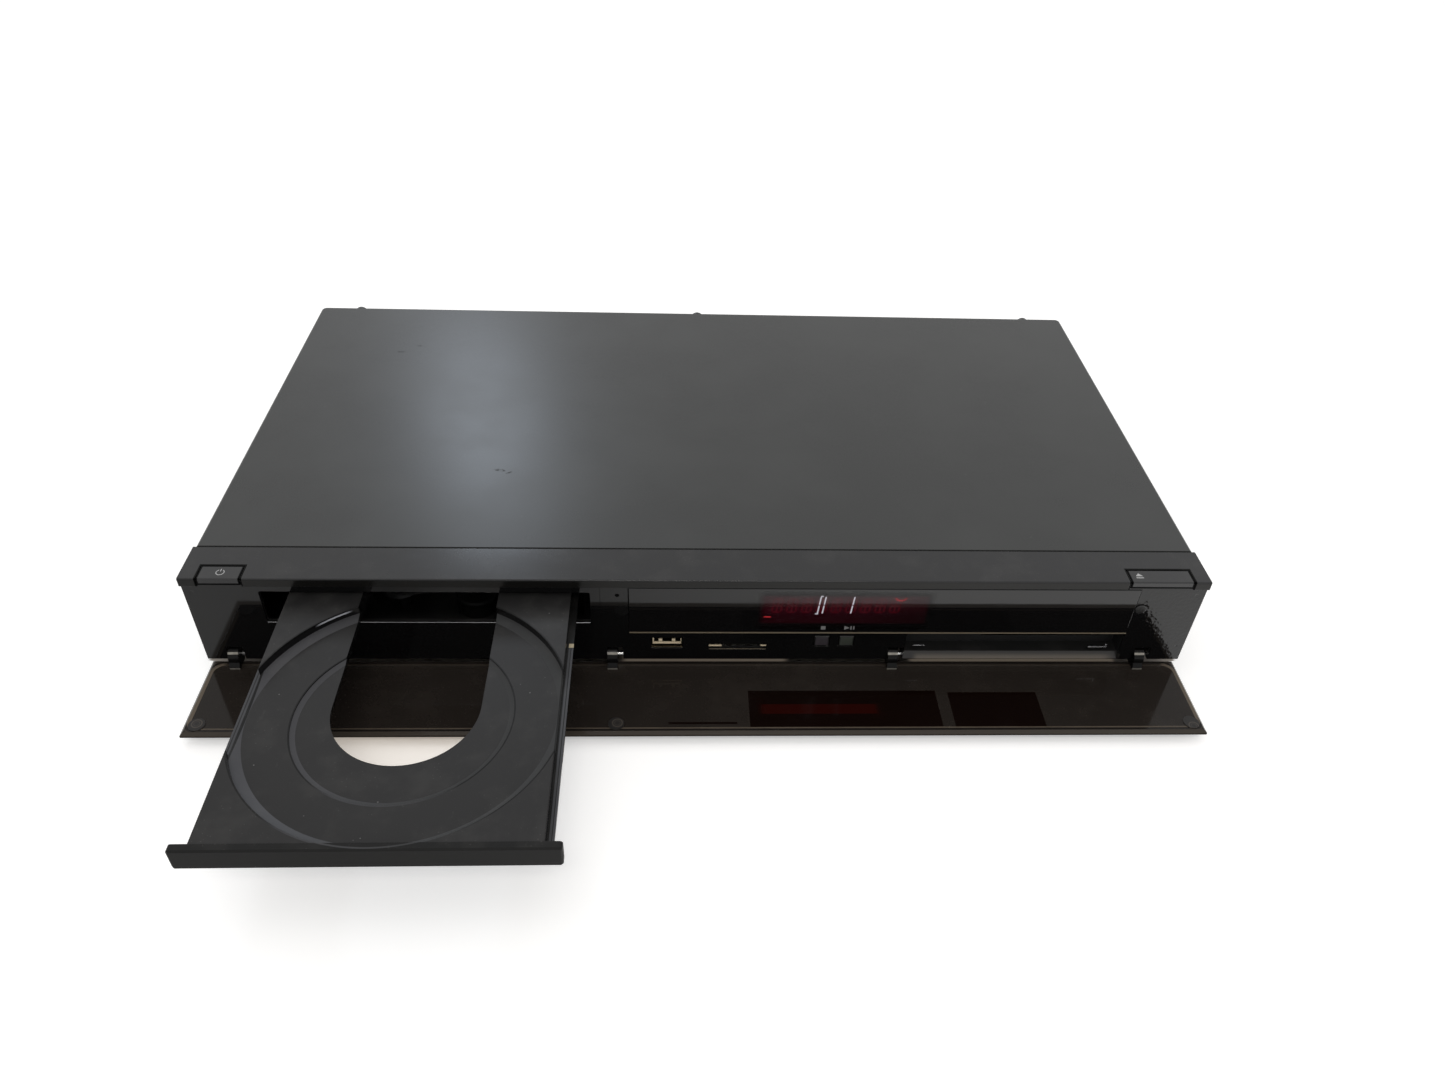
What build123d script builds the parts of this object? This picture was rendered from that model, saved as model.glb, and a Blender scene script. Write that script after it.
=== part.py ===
from build123d import *
from math import atan2, cos, degrees, pi, radians, sin, sqrt, tan
import os

os.makedirs("parts", exist_ok=True)

# A disc recorder with its tray out and its front door folded down, in millimetres.
# X runs to the right, Y to the back and Z up from the floor. Pieces are drawn with the
# front edge of the body at Y = 0, and save() moves them to the middle of the whole object.

# Body shell
panel_width = 430.0
side_step = 1.0          # the cover lies this far inside the front panel on each side
body_height = 59.0
body_depth = 234.0       # front edge to the cover's rear edge
rear_inset = 3.0         # the rear panel lies this far inside the cover's rear edge
foot_height = 10.0
cover_sheet = 0.8
chassis_sheet = 1.0
cover_corner = 3.0
cover_fold = 1.5
cover_rear_lip = 8.0
cover_return = 6.0
chassis_side = 30.0
sheet_gap = 0.3
part_gap = 0.3           # clearance between pieces that lie side by side
running_gap = 0.05       # radial clearance of a shaft in its bore

# Front panel moulding
panel_depth = 20.3
panel_wall = 2.0
strip_drop = 0.4         # the glossy top strip lies this far under the cover's top
lip_drop = 4.1           # height of the narrow front edge above the door
fascia_recess = 1.4      # the fascia lies this far behind the front edge
fascia_rise = 1.2        # the fascia's lower edge above the bottom chassis
floor_wall_back = 6.4    # the panel's floor starts this far back, behind the hinge rod
floor_wall = 1.8
edge_round = 0.6

# Tray opening in the fascia
opening_margin = 30.2    # the panel's left end to the opening
opening_width = 135.9
opening_height = 17.2
opening_drop = 3.9       # below the fascia's upper edge

# Display window and what lies behind it
window_gap = 16.1        # the tray opening to the window
window_margin = 28.6     # the window to the panel's right end
window_rise = 16.8       # above the fascia's lower edge
window_drop = 1.3        # below the fascia's upper edge
window_sheet = 1.5
window_proud = 0.3
window_rim = 5.0
tube_inset = 46.8        # the window's left end to the lit tube
tube_width = 96.0
tube_margin = 2.6
tube_depth = 7.0
display_board_y = 12.2
board_sheet = 1.6

# Ports in the lower strip, placed as shares of the window's length from its left end
usb_place = 0.0744
card_place = 0.2162
stop_key_place = 0.3841
recess_place = 0.5547
strip_drop_usb = 6.8     # the socket's middle under the window
usb_width = 13.2
usb_height = 5.8
usb_depth = 13.5
usb_sheet = 0.35
tongue_width = 10.6
tongue_height = 1.9
card_width = 25.6
card_height = 3.2
card_depth = 30.0
port_board_margin = 11.7
port_board_back = 56.0

# Recess with the slot for the conditional access module
recess_margin = 28.7     # the recess to the panel's right end
recess_rise = 3.2        # above the fascia's lower edge
recess_drop = 1.0        # below the display window
recess_depth = 8.6
recess_wall = 1.2
recess_slope = 2.8       # height of the sloping lip under the recess
module_margin = 6.5      # the slot to the recess's right end
module_width = 54.6
module_height = 5.6
module_depth = 84.0
cage_wall = 1.0

# Buttons
press_travel = 0.7
top_button_depth = 7.9
power_button_margin = 7.6
power_button_width = 17.2
open_button_margin = 7.5
open_button_width = 27.2
shelf_drop = 9.9         # top buttons' switches under the fascia's upper edge
shelf_width = 10.0
key_width = 6.5
key_height = 5.8
key_pitch = 10.9
key_drop = 5.5           # the keys' middle under the window
key_proud = 0.2
key_flange = 1.0
key_stem = 2.4
switch_size = 6.0
switch_height = 3.2

# Door
door_sheet = 2.6
door_gap = 0.6           # closed door to the fascia
door_rise = 0.4          # lower edge of the closed door above the fascia's lower edge
door_drop = 0.4          # upper edge of the closed door under the fascia's upper edge
door_bevel = 1.2
hinge_y = 4.65
hinge_rise = 0.25
rod_radius = 1.0
ear_margins = (11.6, 174.7)   # ears from the panel's left end
ear_margins_right = (131.0, 19.0)   # ears from its right end
ear_width = 4.4
ear_radius = 5.4
ear_back = 2.2
ear_toe = 6.4
ear_toe_height = 1.2
ear_side_gap = 2.2       # the slot is this much wider on the ear's right side
bearing_offset = 4.6
bearing_width = 2.2
pad_radius = 3.4
pad_thickness = 0.3
pad_inset = 5.6
pad_drop = 5.0
lever_gap = 2.8          # the lever lies this far left of the tray opening
lever_width = 2.4
lever_length = 20.0

# Tray
tray_inset = 70.2        # the tray's middle from the opening's left end
tray_drop = 1.4          # the tray's top under the opening's top
tray_length = 163.2
tray_travel = 125.0
tray_reach = 123.2       # how far the tray's front stands before the body's front edge
plate_width = 116.0
rail_width = 121.2
rail_drop = 6.6
rail_height = 1.6
skirt_depth = 8.8
tray_wall = 1.8
front_lip_width = 128.2
front_lip_height = 9.9
front_lip_rise = 0.7     # the lip stands this far above the tray's top
front_lip_depth = 3.0
disc_setback = 62.4      # lip front to the middle of the disc recess
disc_radius = 61.2
ledge_depth = 3.4        # the tray's top to the top of the slope that carries a disc by its rim
slope_width = 4.0
slope_drop = 1.1
small_disc_radius = 40.8
small_disc_step = 1.3
small_slope_width = 1.9
small_slope_drop = 0.8
cut_radius = 27.9
tray_bevel = 0.3
cut_setback = 5.3        # the cut-out's round end is centred this far behind the disc's middle

# Loading gears
rack_module = 1.0
train_module = 0.8
pinion_teeth = 20
wheel_teeth = 30
idler_teeth = 12
tooth_fill = 0.86        # share of half a pitch that a tooth takes
addendum_share = 0.8
dedendum_share = 1.1
flank_angle = 20.0
rack_inset = 9.5         # pitch line of the rack inside the tray plate's edge
rack_web = 2.4
rack_drop = 12.4         # the rack's lower edge under the tray's top
gear_y = 34.0
gear_height = 3.6
gear_step = 5.4          # pinion over wheel
wheel_pin = 2.0
idler_pin = 1.5
pin_collar = 1.4
idler_groove = 8.0
motor_groove = 3.2
motor_offset = 33.7
pulley_step = 6.0        # wheel over pulley
pulley_height = 4.6
belt_size = 1.5
motor_radius = 10.0
motor_boss = 1.2
motor_gap = 1.4

# Disc drive frame
drive_front = 21.0
drive_back = 172.0
drive_wall = 3.0
drive_rise = 1.0         # the frame's underside over the chassis sheet
drive_floor = 2.0
drive_lift = 0.8         # the side walls over the tray's top
bridge_sheet = 1.0
bridge_depth = 30.0
puck_radius = 14.5
puck_hub_radius = 10.0
puck_height = 2.4
puck_hub_gap = 0.6

# Swinging pickup carrier, drawn level and then lowered about its rear axle
carrier_tilt = 3.2
carrier_axle_y = 148.0
carrier_drop = 13.2      # the plate under the tray's top
carrier_half = 42.0
carrier_front = 50.0
carrier_sheet = 2.0
carrier_window_half = 26.0
carrier_window_front = 79.0
axle_radius = 1.6
turntable_lift = 11.1    # the table's top over the carrier plate
turntable_radius = 14.0
hub_radius = 7.3
hub_rise = 2.1
rotor_radius = 12.6
rotor_height = 6.4
spindle_radius = 1.0
guide_rod_radius = 1.5
guide_rod_offset = 29.0
guide_rod_drop = 2.6
sled_start = 24.0        # lens to the turntable's axis with the sled at its inner end
sled_travel = 34.0
sled_end_room = 11.3     # the sled at its outer end to the window's rear edge
sled_length = 15.0
sled_half = 21.0
sled_lift = 7.2
lens_radius = 3.2
screw_offset = 35.8
screw_drop = 1.4         # lead screw under the guide rods
lead_screw_radius = 1.5
cam_y = 44.6
cam_sheet = 2.8
cam_rise = 4.0           # the slider's lower edge over the drive's floor
cam_over = 1.0           # its upper edge over the carrier plate's underside
cam_left = -14.0
cam_length = 52.0
cam_travel = 14.0
cam_pin_radius = 1.5
cam_pin_x = 10.0
cam_pin_drop = 3.0

# Boards and units on the chassis
stand_width = 7.0
stand_inset = 6.0
main_gap = 10.6          # the disc drive to the main board
board_gap = 18.0         # the main board to the power board
main_front = 146.0
board_rise = 6.0         # boards over the chassis sheet
power_margin = 9.0       # the power board to the panel's right end
power_width = 84.0
power_front = 112.0
disk_gap = 4.6           # the disc drive to the hard disk
disk_width = 147.0
disk_depth = 101.6
disk_height = 26.1
disk_front = 38.0
disk_rise = 11.0
bracket_sheet = 1.2
sink_inset = 52.0
sink_width = 40.0
sink_depth = 34.0
sink_height = 18.0
sink_base = 4.0
sink_fins = 8
fin_sheet = 1.5

# Rear sockets, spread evenly along the main board, and the fan
aerial_reach = 8.0
aerial_radius = 4.8
aerial_pitch = 20.0
aerial_rise = 15.4
aerial_can_height = 23.4
hdmi_width = 15.0
hdmi_height = 5.6
network_width = 15.6
network_height = 13.4
optical_size = 9.6
optical_height = 13.0
phono_pitch = 14.0
phono_radius = 4.15
phono_reach = 7.5
phono_rim = 1.4
socket_rise = 8.4        # the sockets' middle over the board
inlet_margin = 39.0      # the mains inlet to the panel's right end
inlet_width = 24.0
inlet_height = 16.0
inlet_core = 18.8
inlet_reach = 1.6
inlet_z = 30.0
fan_drive_offset = 9.6   # the fan's middle to the right of the tray's middle
fan_size = 40.0
fan_depth = 10.0
fan_drop = 0.6
fan_duct_wall = 1.0
fan_plate = 1.4
fan_hub_radius = 10.5
fan_blades = 7
blade_sheet = 1.0
blade_chord = 9.0
blade_pitch = 48.0
grille_slots = 8
grille_bar = 2.0

# Feet and screws
foot_radius = 15.0
foot_margin = 31.0
foot_front = 46.0
foot_back = 204.0
foot_taper = 2.0
foot_rise = 1.0
pad_foot_radius = 10.0
pad_foot_height = 1.6
screw_radius = 1.4
screw_head_radius = 3.6
screw_head = 0.8
side_screw_z = 24.0
side_screw_back = 14.0

# Worked-out places: shell and front panel
panel_half = panel_width / 2
body_half = panel_half - side_step
strip_z = body_height - strip_drop
lip_z = strip_z - lip_drop
fascia_bottom = foot_height + fascia_rise
fascia_back = fascia_recess + panel_wall
cover_front = panel_depth + sheet_gap
cover_bottom = foot_height
rear_face = body_depth - rear_inset
rear_inner = rear_face - chassis_sheet
pan_half = body_half - cover_sheet - sheet_gap
pan_top = foot_height + chassis_sheet
foot_x = panel_half - foot_margin
opening_left = opening_margin - panel_half
opening_right = opening_left + opening_width
opening_top = lip_z - opening_drop
opening_sill = opening_top - opening_height
window_left = opening_right + window_gap
window_right = panel_half - window_margin
window_bottom = fascia_bottom + window_rise
window_top = lip_z - window_drop
window_middle = (window_bottom + window_top) / 2
window_span = window_right - window_left
tube_left = window_left + tube_inset
tube_height = window_top - window_bottom - 2 * tube_margin
usb_x = window_left + usb_place * window_span
usb_z = window_bottom - strip_drop_usb
card_x = window_left + card_place * window_span
stop_key_x = window_left + stop_key_place * window_span
play_key_x = stop_key_x + key_pitch
key_z = window_bottom - key_drop
port_board_top = usb_z - usb_height / 2 - 1.4
port_board_left = usb_x - usb_width / 2 - 6.9
port_board_right = play_key_x + port_board_margin
recess_left = window_left + recess_place * window_span
recess_right = panel_half - recess_margin
recess_bottom = fascia_bottom + recess_rise
recess_top = window_bottom - recess_drop
module_x = recess_right - module_margin - module_width / 2
module_z = (recess_bottom + recess_top) / 2 - 0.3
power_button_left = power_button_margin - panel_half
power_button_right = power_button_left + power_button_width
open_button_right = panel_half - open_button_margin
open_button_left = open_button_right - open_button_width
shelf_z = lip_z - shelf_drop

# Worked-out places: door and tray
hinge_z = fascia_bottom + hinge_rise
door_bottom = fascia_bottom + door_rise
door_top = lip_z - door_drop
door_closed_back = fascia_recess - door_gap
door_closed_front = door_closed_back - door_sheet
ears_left = tuple(margin - panel_half for margin in ear_margins)
ears_right = tuple(panel_half - margin for margin in ear_margins_right)
ear_positions = ears_left + ears_right
lever_x = opening_left - lever_gap
tray_x = opening_left + tray_inset
tray_top = opening_top - tray_drop
rail_bottom = tray_top - rail_drop
skirt_bottom = tray_top - skirt_depth
lip_front = -tray_reach
tray_back = lip_front + tray_length
disc_y = lip_front + disc_setback
ledge_z = tray_top - ledge_depth
floor_z = ledge_z - slope_drop
small_floor_z = floor_z - small_disc_step
plate_under = small_floor_z - tray_wall + 0.2
cut_y = disc_y + cut_setback
loaded_y = disc_y + tray_travel

# Worked-out places: drive
rack_line = tray_x - plate_width / 2 + rack_inset
rack_bottom = tray_top - rack_drop
pinion_z = rack_bottom - 0.2
wheel_z = pinion_z - gear_step
pulley_z = wheel_z - pulley_step
pinion_radius = rack_module * pinion_teeth / 2
wheel_radius = train_module * wheel_teeth / 2
idler_radius = train_module * idler_teeth / 2
gear_x = rack_line + pinion_radius
idler_x = gear_x + wheel_radius + idler_radius
motor_x = idler_x + motor_offset
drive_half = rail_width / 2 + 0.4 + drive_wall
drive_floor_z = pan_top + drive_rise
drive_top = tray_top + drive_lift
motor_low = drive_floor_z + drive_floor
motor_height = pulley_z - motor_gap - motor_boss - motor_low
bridge_z = drive_top + bridge_sheet
puck_hub_bottom = tray_top + puck_hub_gap
carrier_z = tray_top - carrier_drop
carrier_axle_z = carrier_z
turntable_top = carrier_z + turntable_lift
guide_rod_z = carrier_z - guide_rod_drop
lead_screw_z = guide_rod_z - screw_drop
sled_top = carrier_z + sled_lift
sled_y = loaded_y + sled_start
carrier_window_back = sled_y + sled_length / 2 + sled_travel + sled_end_room
cam_bottom = motor_low + cam_rise
cam_top = carrier_z + cam_over

# Worked-out places: units and sockets
drive_right = tray_x + drive_half
power_right = panel_half - power_margin
power_left = power_right - power_width
main_left = drive_right + main_gap
main_right = power_left - board_gap
main_board_z = pan_top + board_rise
board_top = main_board_z + board_sheet
disk_left = drive_right + disk_gap
disk_z = pan_top + disk_rise
phono_half = phono_radius + 2 * phono_rim
aerial_half = aerial_pitch / 2 + aerial_radius + 2 * phono_rim
socket_widths = 2 * (phono_half + aerial_half) + optical_size + hdmi_width + network_width
socket_gap = (main_right - main_left - socket_widths) / 6
phono_x = main_left + socket_gap + phono_half
optical_x = phono_x + phono_half + socket_gap + optical_size / 2
hdmi_x = optical_x + optical_size / 2 + socket_gap + hdmi_width / 2
network_x = hdmi_x + hdmi_width / 2 + socket_gap + network_width / 2
aerial_x = network_x + network_width / 2 + socket_gap + aerial_half
aerial_z = board_top + aerial_rise
socket_z = board_top + socket_rise
inlet_x = panel_half - inlet_margin
fan_x = tray_x + fan_drive_offset
fan_z = (pan_top + body_height - cover_sheet) / 2 - fan_drop
closed_depth = rear_face + aerial_reach
centre_y = (closed_depth - tray_reach) / 2


# Shapes drawn often


def block(x0, x1, y0, y1, z0, z1):
    """A box between two planes on each axis."""
    middle = Pos((x0 + x1) / 2, (y0 + y1) / 2, (z0 + z1) / 2)
    return middle * Box(x1 - x0, y1 - y0, z1 - z0)


def upright(x, y, z0, z1, radius):
    """A round bar standing on Z."""
    return Pos(x, y, (z0 + z1) / 2) * Cylinder(radius, z1 - z0)


def bar_x(x0, x1, y, z, radius):
    """A round bar lying along X."""
    return Pos((x0 + x1) / 2, y, z) * Rot(0, 90, 0) * Cylinder(radius, x1 - x0)


def bar_y(x, z, y0, y1, radius):
    """A round bar lying along Y."""
    return Pos(x, (y0 + y1) / 2, z) * Rot(90, 0, 0) * Cylinder(radius, y1 - y0)


def raised(outline, z0, z1):
    """An outline drawn in X and Y, standing from z0 to z1."""
    return Pos(0, 0, z0) * extrude(outline, z1 - z0, dir=(0, 0, 1))


def run_x(outline, x0, x1):
    """An outline drawn in Y and Z, run from x0 to x1."""
    return extrude(Plane.YZ.offset(x0) * outline, x1 - x0, dir=(1, 0, 0))


def run_y(outline, y0, y1):
    """An outline drawn in X and Z, run from y0 to y1."""
    return extrude(Plane.XZ.offset(-y0) * outline, y1 - y0, dir=(0, 1, 0))


def polygon(*points):
    """A closed outline through the points, taken anticlockwise."""
    ahead = points[1:] + points[:1]
    turn = sum(a[0] * b[1] - b[0] * a[1] for a, b in zip(points, ahead))
    return Polygon(*(points if turn > 0 else points[::-1]), align=None)


def window(x0, x1, z0, z1, radius):
    """A rectangle with round corners, drawn in X and Z."""
    rounded = RectangleRounded(x1 - x0, z1 - z0, radius)
    return Pos((x0 + x1) / 2, (z0 + z1) / 2) * rounded


def tilted(shape, y, z, angle):
    """The shape turned about an axis along X through y and z."""
    return Pos(0, y, z) * Rot(angle, 0, 0) * Pos(0, -y, -z) * shape


def opened(shape):
    """A piece of the closed door, swung down to the open door."""
    return tilted(shape, hinge_y, hinge_z, 90)


def lowered(shape):
    """A piece of the level carrier, dropped to its resting tilt."""
    return tilted(shape, carrier_axle_y, carrier_axle_z, carrier_tilt)


def involute(angle):
    """The polar angle of an involute at a pressure angle in radians."""
    return tan(angle) - angle


def gear_outline(teeth, module, first_angle):
    """A spur gear's outline with one tooth on first_angle, in degrees."""
    pitch = module * teeth / 2
    base = pitch * cos(radians(flank_angle))
    tip = pitch + addendum_share * module
    root = pitch - dedendum_share * module
    half = tooth_fill * pi / (2 * teeth) + involute(radians(flank_angle))
    points = []
    for tooth in range(teeth):
        middle = radians(first_angle) + tooth * 2 * pi / teeth
        flank = []
        for radius in (root, pitch, tip):
            press = sqrt(max(radius**2 - base**2, 0)) / base
            flank.append((radius, half - (press - atan2(press, 1))))
        for radius, turn in flank:
            points.append((radius * cos(middle - turn), radius * sin(middle - turn)))
        for radius, turn in reversed(flank):
            points.append((radius * cos(middle + turn), radius * sin(middle + turn)))
    return polygon(*points)


def gear(x, y, z0, z1, teeth, module, first_angle):
    """A spur gear standing on Z."""
    return raised(Pos(x, y) * gear_outline(teeth, module, first_angle), z0, z1)


def screw_y(x, z, y, depth):
    """A low round head on a rear face at y, with its shank running forwards."""
    head = bar_y(x, z, y, y + screw_head * 2, screw_head_radius)
    return head + bar_y(x, z, y - depth, y, screw_radius)


def save(node, *shapes):
    """Write one named piece, moved so that the whole object is centred on the origin."""
    solids = [solid for shape in shapes for solid in shape.solids()]
    placed = [Pos(0, -centre_y, 0) * solid for solid in solids]
    whole = placed[0] if len(placed) == 1 else Compound(placed)
    export_step(whole, f"parts/{node}.step")


# Sheet metal shell


def cover_block(inset, front, top):
    """The cover's outer form, or the room inside it."""
    half = body_half - inset
    back = body_depth - inset
    outline = Pos(0, (front + back) / 2) * Rectangle(2 * half, back - front)
    corners = outline.vertices().sort_by(Axis.Y)[-2:]
    outline = fillet(corners, cover_corner - inset)
    return raised(outline, cover_bottom - inset, top)


def side_screw_places():
    """Y and Z of the cover screw on each side."""
    return [(rear_inner - side_screw_back, side_screw_z)]


def rear_screw_places():
    """X and Z of the screws through the cover's rear lip."""
    z = body_height - cover_rear_lip / 2
    return [(x * body_half * 0.9, z) for x in (-1, 0, 1)]


def top_cover():
    outer = cover_block(0, cover_front, body_height)
    top_edges = outer.edges().filter_by_position(Axis.Z, body_height, body_height)
    folds = top_edges.sort_by(Axis.Y)[1:]
    cover = fillet(folds, cover_fold)
    cover -= cover_block(cover_sheet, cover_front - 1, body_height - cover_sheet)
    rear_half = body_half - cover_return
    cover -= block(-rear_half, rear_half, rear_inner, body_depth + 1,
                   cover_bottom - 1, body_height - cover_rear_lip)
    slot, pitch, height = 3.5, 8.0, 13.0
    for step in range(8):
        y = rear_inner - 30 - step * pitch
        cover -= block(-body_half - 1, body_half + 1, y, y + slot, side_screw_z + 8,
                       side_screw_z + 8 + height)
    for y, z in side_screw_places():
        cover -= bar_x(-body_half - 1, body_half + 1, y, z, screw_radius + part_gap)
    for x, z in rear_screw_places():
        cover -= bar_y(x, z, body_depth - 2, body_depth + 1, screw_radius + part_gap)
    return cover


def board_posts(left, right, front, back, top):
    """Four folded stands under the corners of a board."""
    columns = (left + stand_inset, right - stand_inset)
    rows = (front + stand_inset, back - stand_inset)
    return [sheet_stand(x, y, top) for x in columns for y in rows]


def sheet_stand(x, y, top):
    """A channel of sheet, folded up out of the pan, with its web on top."""
    half = stand_width / 2
    room = half - chassis_sheet
    stand = block(x - half, x + half, y - half, y + half, pan_top - 0.1, top)
    return stand - block(x - half - 1, x + half + 1, y - room, y + room, pan_top,
                         top - chassis_sheet)


def bottom_chassis():
    low, high = foot_height, foot_height + chassis_side
    sheet = chassis_sheet
    section = polygon((-pan_half, low), (pan_half, low), (pan_half, high),
                      (pan_half - sheet, high), (pan_half - sheet, low + sheet),
                      (sheet - pan_half, low + sheet), (sheet - pan_half, high),
                      (-pan_half, high))
    pan = run_y(section, cover_front + sheet_gap, rear_inner)
    bead_length, bead_width, bead_rise = 94.0, 9.0, 1.2
    for x in (0, pan_half - bead_length / 2 - 16):
        middle = Pos(x, cover_front + 9.5)
        press = SlotOverall(bead_length - 2 * sheet, bead_width - 2 * sheet)
        pan += raised(middle * SlotOverall(bead_length, bead_width), low, pan_top + bead_rise)
        pan -= raised(middle * press, low - 1, low + bead_rise)
    pan += board_posts(main_left, main_right, main_front, rear_inner, main_board_z)
    pan += board_posts(power_left, power_right, power_front, rear_inner, main_board_z)
    pan += [sheet_stand(x, port_board_back - stand_inset, port_board_top - board_sheet)
            for x in (port_board_left + stand_inset, port_board_right - stand_inset)]
    cage_bottom = module_z - module_height / 2 - cage_wall
    pan += [sheet_stand(module_x + x, fascia_recess + recess_depth + module_depth / 2, cage_bottom)
            for x in (-module_width / 3, module_width / 3)]
    vent_width, vent_length, vent_pitch = 3.5, 26.0, 9.0
    for row in range(2):
        for step in range(8):
            x = power_left + vent_pitch * (step + 1)
            y = power_front + 16 + row * (vent_length + 8)
            pan -= block(x, x + vent_width, y, y + vent_length, low - 1, pan_top + 1)
    for y, z in side_screw_places():
        pan -= bar_x(-pan_half - 1, pan_half + 1, y, z, screw_radius + running_gap)
    return pan


def feet():
    """Round tapered feet, each with a shallow seat for its pad."""
    profile = polygon((0, foot_rise), (foot_radius - foot_taper, foot_rise),
                      (foot_radius, foot_height), (0, foot_height))
    foot = revolve(Plane.XZ * profile, Axis.Z)
    foot -= upright(0, 0, 0, pad_foot_height, pad_foot_radius + part_gap)
    return [Pos(x, y, 0) * foot for x, y in foot_places()]


def foot_places():
    return [(x, y) for x in (-foot_x, foot_x) for y in (foot_front, foot_back)]


def foot_pads():
    return [upright(x, y, 0, pad_foot_height, pad_foot_radius) for x, y in foot_places()]


def cover_screws():
    screws = [screw_y(x, z, body_depth, body_depth - rear_inner + 2)
              for x, z in rear_screw_places()]
    for y, z in side_screw_places():
        head = bar_x(body_half, body_half + screw_head, y, z, screw_head_radius)
        screw = head + bar_x(pan_half - 4, body_half, y, z, screw_radius)
        screws += [screw, mirror(screw, Plane.YZ)]
    return screws


# Front panel and what shows through it


def top_button_cut(left, right):
    """Room for a button on the panel's front edge, open to the space behind."""
    gap = part_gap
    return block(left - gap, right + gap, -1, top_button_depth + gap, lip_z, body_height + 1)


def ear_slot(x):
    """The slot that a door ear swings through, wider on the right to clear the rod's collar."""
    half = ear_width / 2 + part_gap
    top = hinge_z + ear_toe + 0.5
    back = hinge_y + ear_radius + 0.5
    return block(x - half, x + half + ear_side_gap, fascia_recess - 1, back, fascia_bottom - 3, top)


def rod_bearings(x):
    """A web behind the fascia that holds the hinge rod on the left of a door ear."""
    section = polygon((fascia_back, hinge_z - 2.0), (hinge_y + 1.6, hinge_z - 2.0),
                      (floor_wall_back + 3, fascia_bottom), (floor_wall_back + 3, 15.5),
                      (fascia_back, 15.5))
    left = x - bearing_offset - bearing_width / 2
    return run_x(section, left, left + bearing_width)


def front_panel():
    top = strip_z
    back = panel_depth
    outline = polygon((0, lip_z), (0, top), (back, top), (back, top - panel_wall),
                      (fascia_back, top - panel_wall), (fascia_back, fascia_bottom),
                      (fascia_recess, fascia_bottom), (fascia_recess, lip_z))
    corner = outline.vertices().sort_by(Axis.Y)[-2:].sort_by(Axis.X)[:1]
    panel = run_x(fillet(corner, edge_round), -panel_half, panel_half)
    cheek = polygon((fascia_recess, fascia_bottom), (fascia_recess, lip_z), (0.6, lip_z),
                    (0.6, top - 0.6), (back, top - 0.6), (back, fascia_bottom))
    panel += run_x(cheek, -panel_half, -panel_half + panel_wall)
    panel += run_x(cheek, panel_half - panel_wall, panel_half)
    panel += block(-panel_half, panel_half, floor_wall_back, back,
                   fascia_bottom, fascia_bottom + floor_wall)
    wall = recess_wall
    panel += block(recess_left - wall, recess_right + wall, fascia_back - 0.1,
                   fascia_recess + recess_depth + wall, recess_bottom - wall, recess_top + wall)
    panel += [switch_shelf(left, right) for left, right in top_button_places()]
    panel += [rod_bearings(x) for x in ear_positions]
    for x in display_boss_places():
        panel += block(x - 1.8, x + 1.8, fascia_back - 0.1, display_board_y, window_middle - 4,
                       window_middle + 4)
    panel -= run_y(window(opening_left, opening_right, opening_sill, opening_top, 1.0),
                   fascia_recess - 1, fascia_back + 1)
    panel -= window_cuts()
    panel -= port_cuts()
    panel -= [ear_slot(x) for x in ear_positions]
    half = lever_width / 2 + part_gap
    panel -= block(lever_x - half, lever_x + half, floor_wall_back - 1, floor_wall_back + 4.5,
                   fascia_bottom - 1, fascia_bottom + floor_wall + 1)
    rod_bore = rod_radius + running_gap
    panel -= bar_x(-panel_half + panel_wall, panel_half - panel_wall, hinge_y, hinge_z, rod_bore)
    panel -= [top_button_cut(left, right) for left, right in top_button_places()]
    return panel


def top_button_places():
    """Left and right ends of the two buttons on the front edge."""
    return ((power_button_left, power_button_right), (open_button_left, open_button_right))


def switch_shelf(left, right):
    """A shelf behind the fascia that carries a top button's switch."""
    middle = (left + right) / 2
    half = shelf_width / 2
    return block(middle - half, middle + half, fascia_back - 0.1, top_button_depth + 3,
                 shelf_z - 1.5, shelf_z)


def display_boss_places():
    return (window_left + window_rim / 2, window_right - window_rim / 2)


def window_cuts():
    """The rebate that the display window lies in, and the opening behind it."""
    gap = part_gap / 2
    depth = window_sheet - window_proud
    rebate = block(window_left - gap, window_right + gap, fascia_recess - 1,
                   fascia_recess + depth + 0.05, window_bottom - gap, window_top + gap)
    through = block(window_left + window_rim, window_right - window_rim, fascia_recess,
                    fascia_back + 1, window_bottom + 3, window_top - 1.8)
    return [rebate, through]


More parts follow.
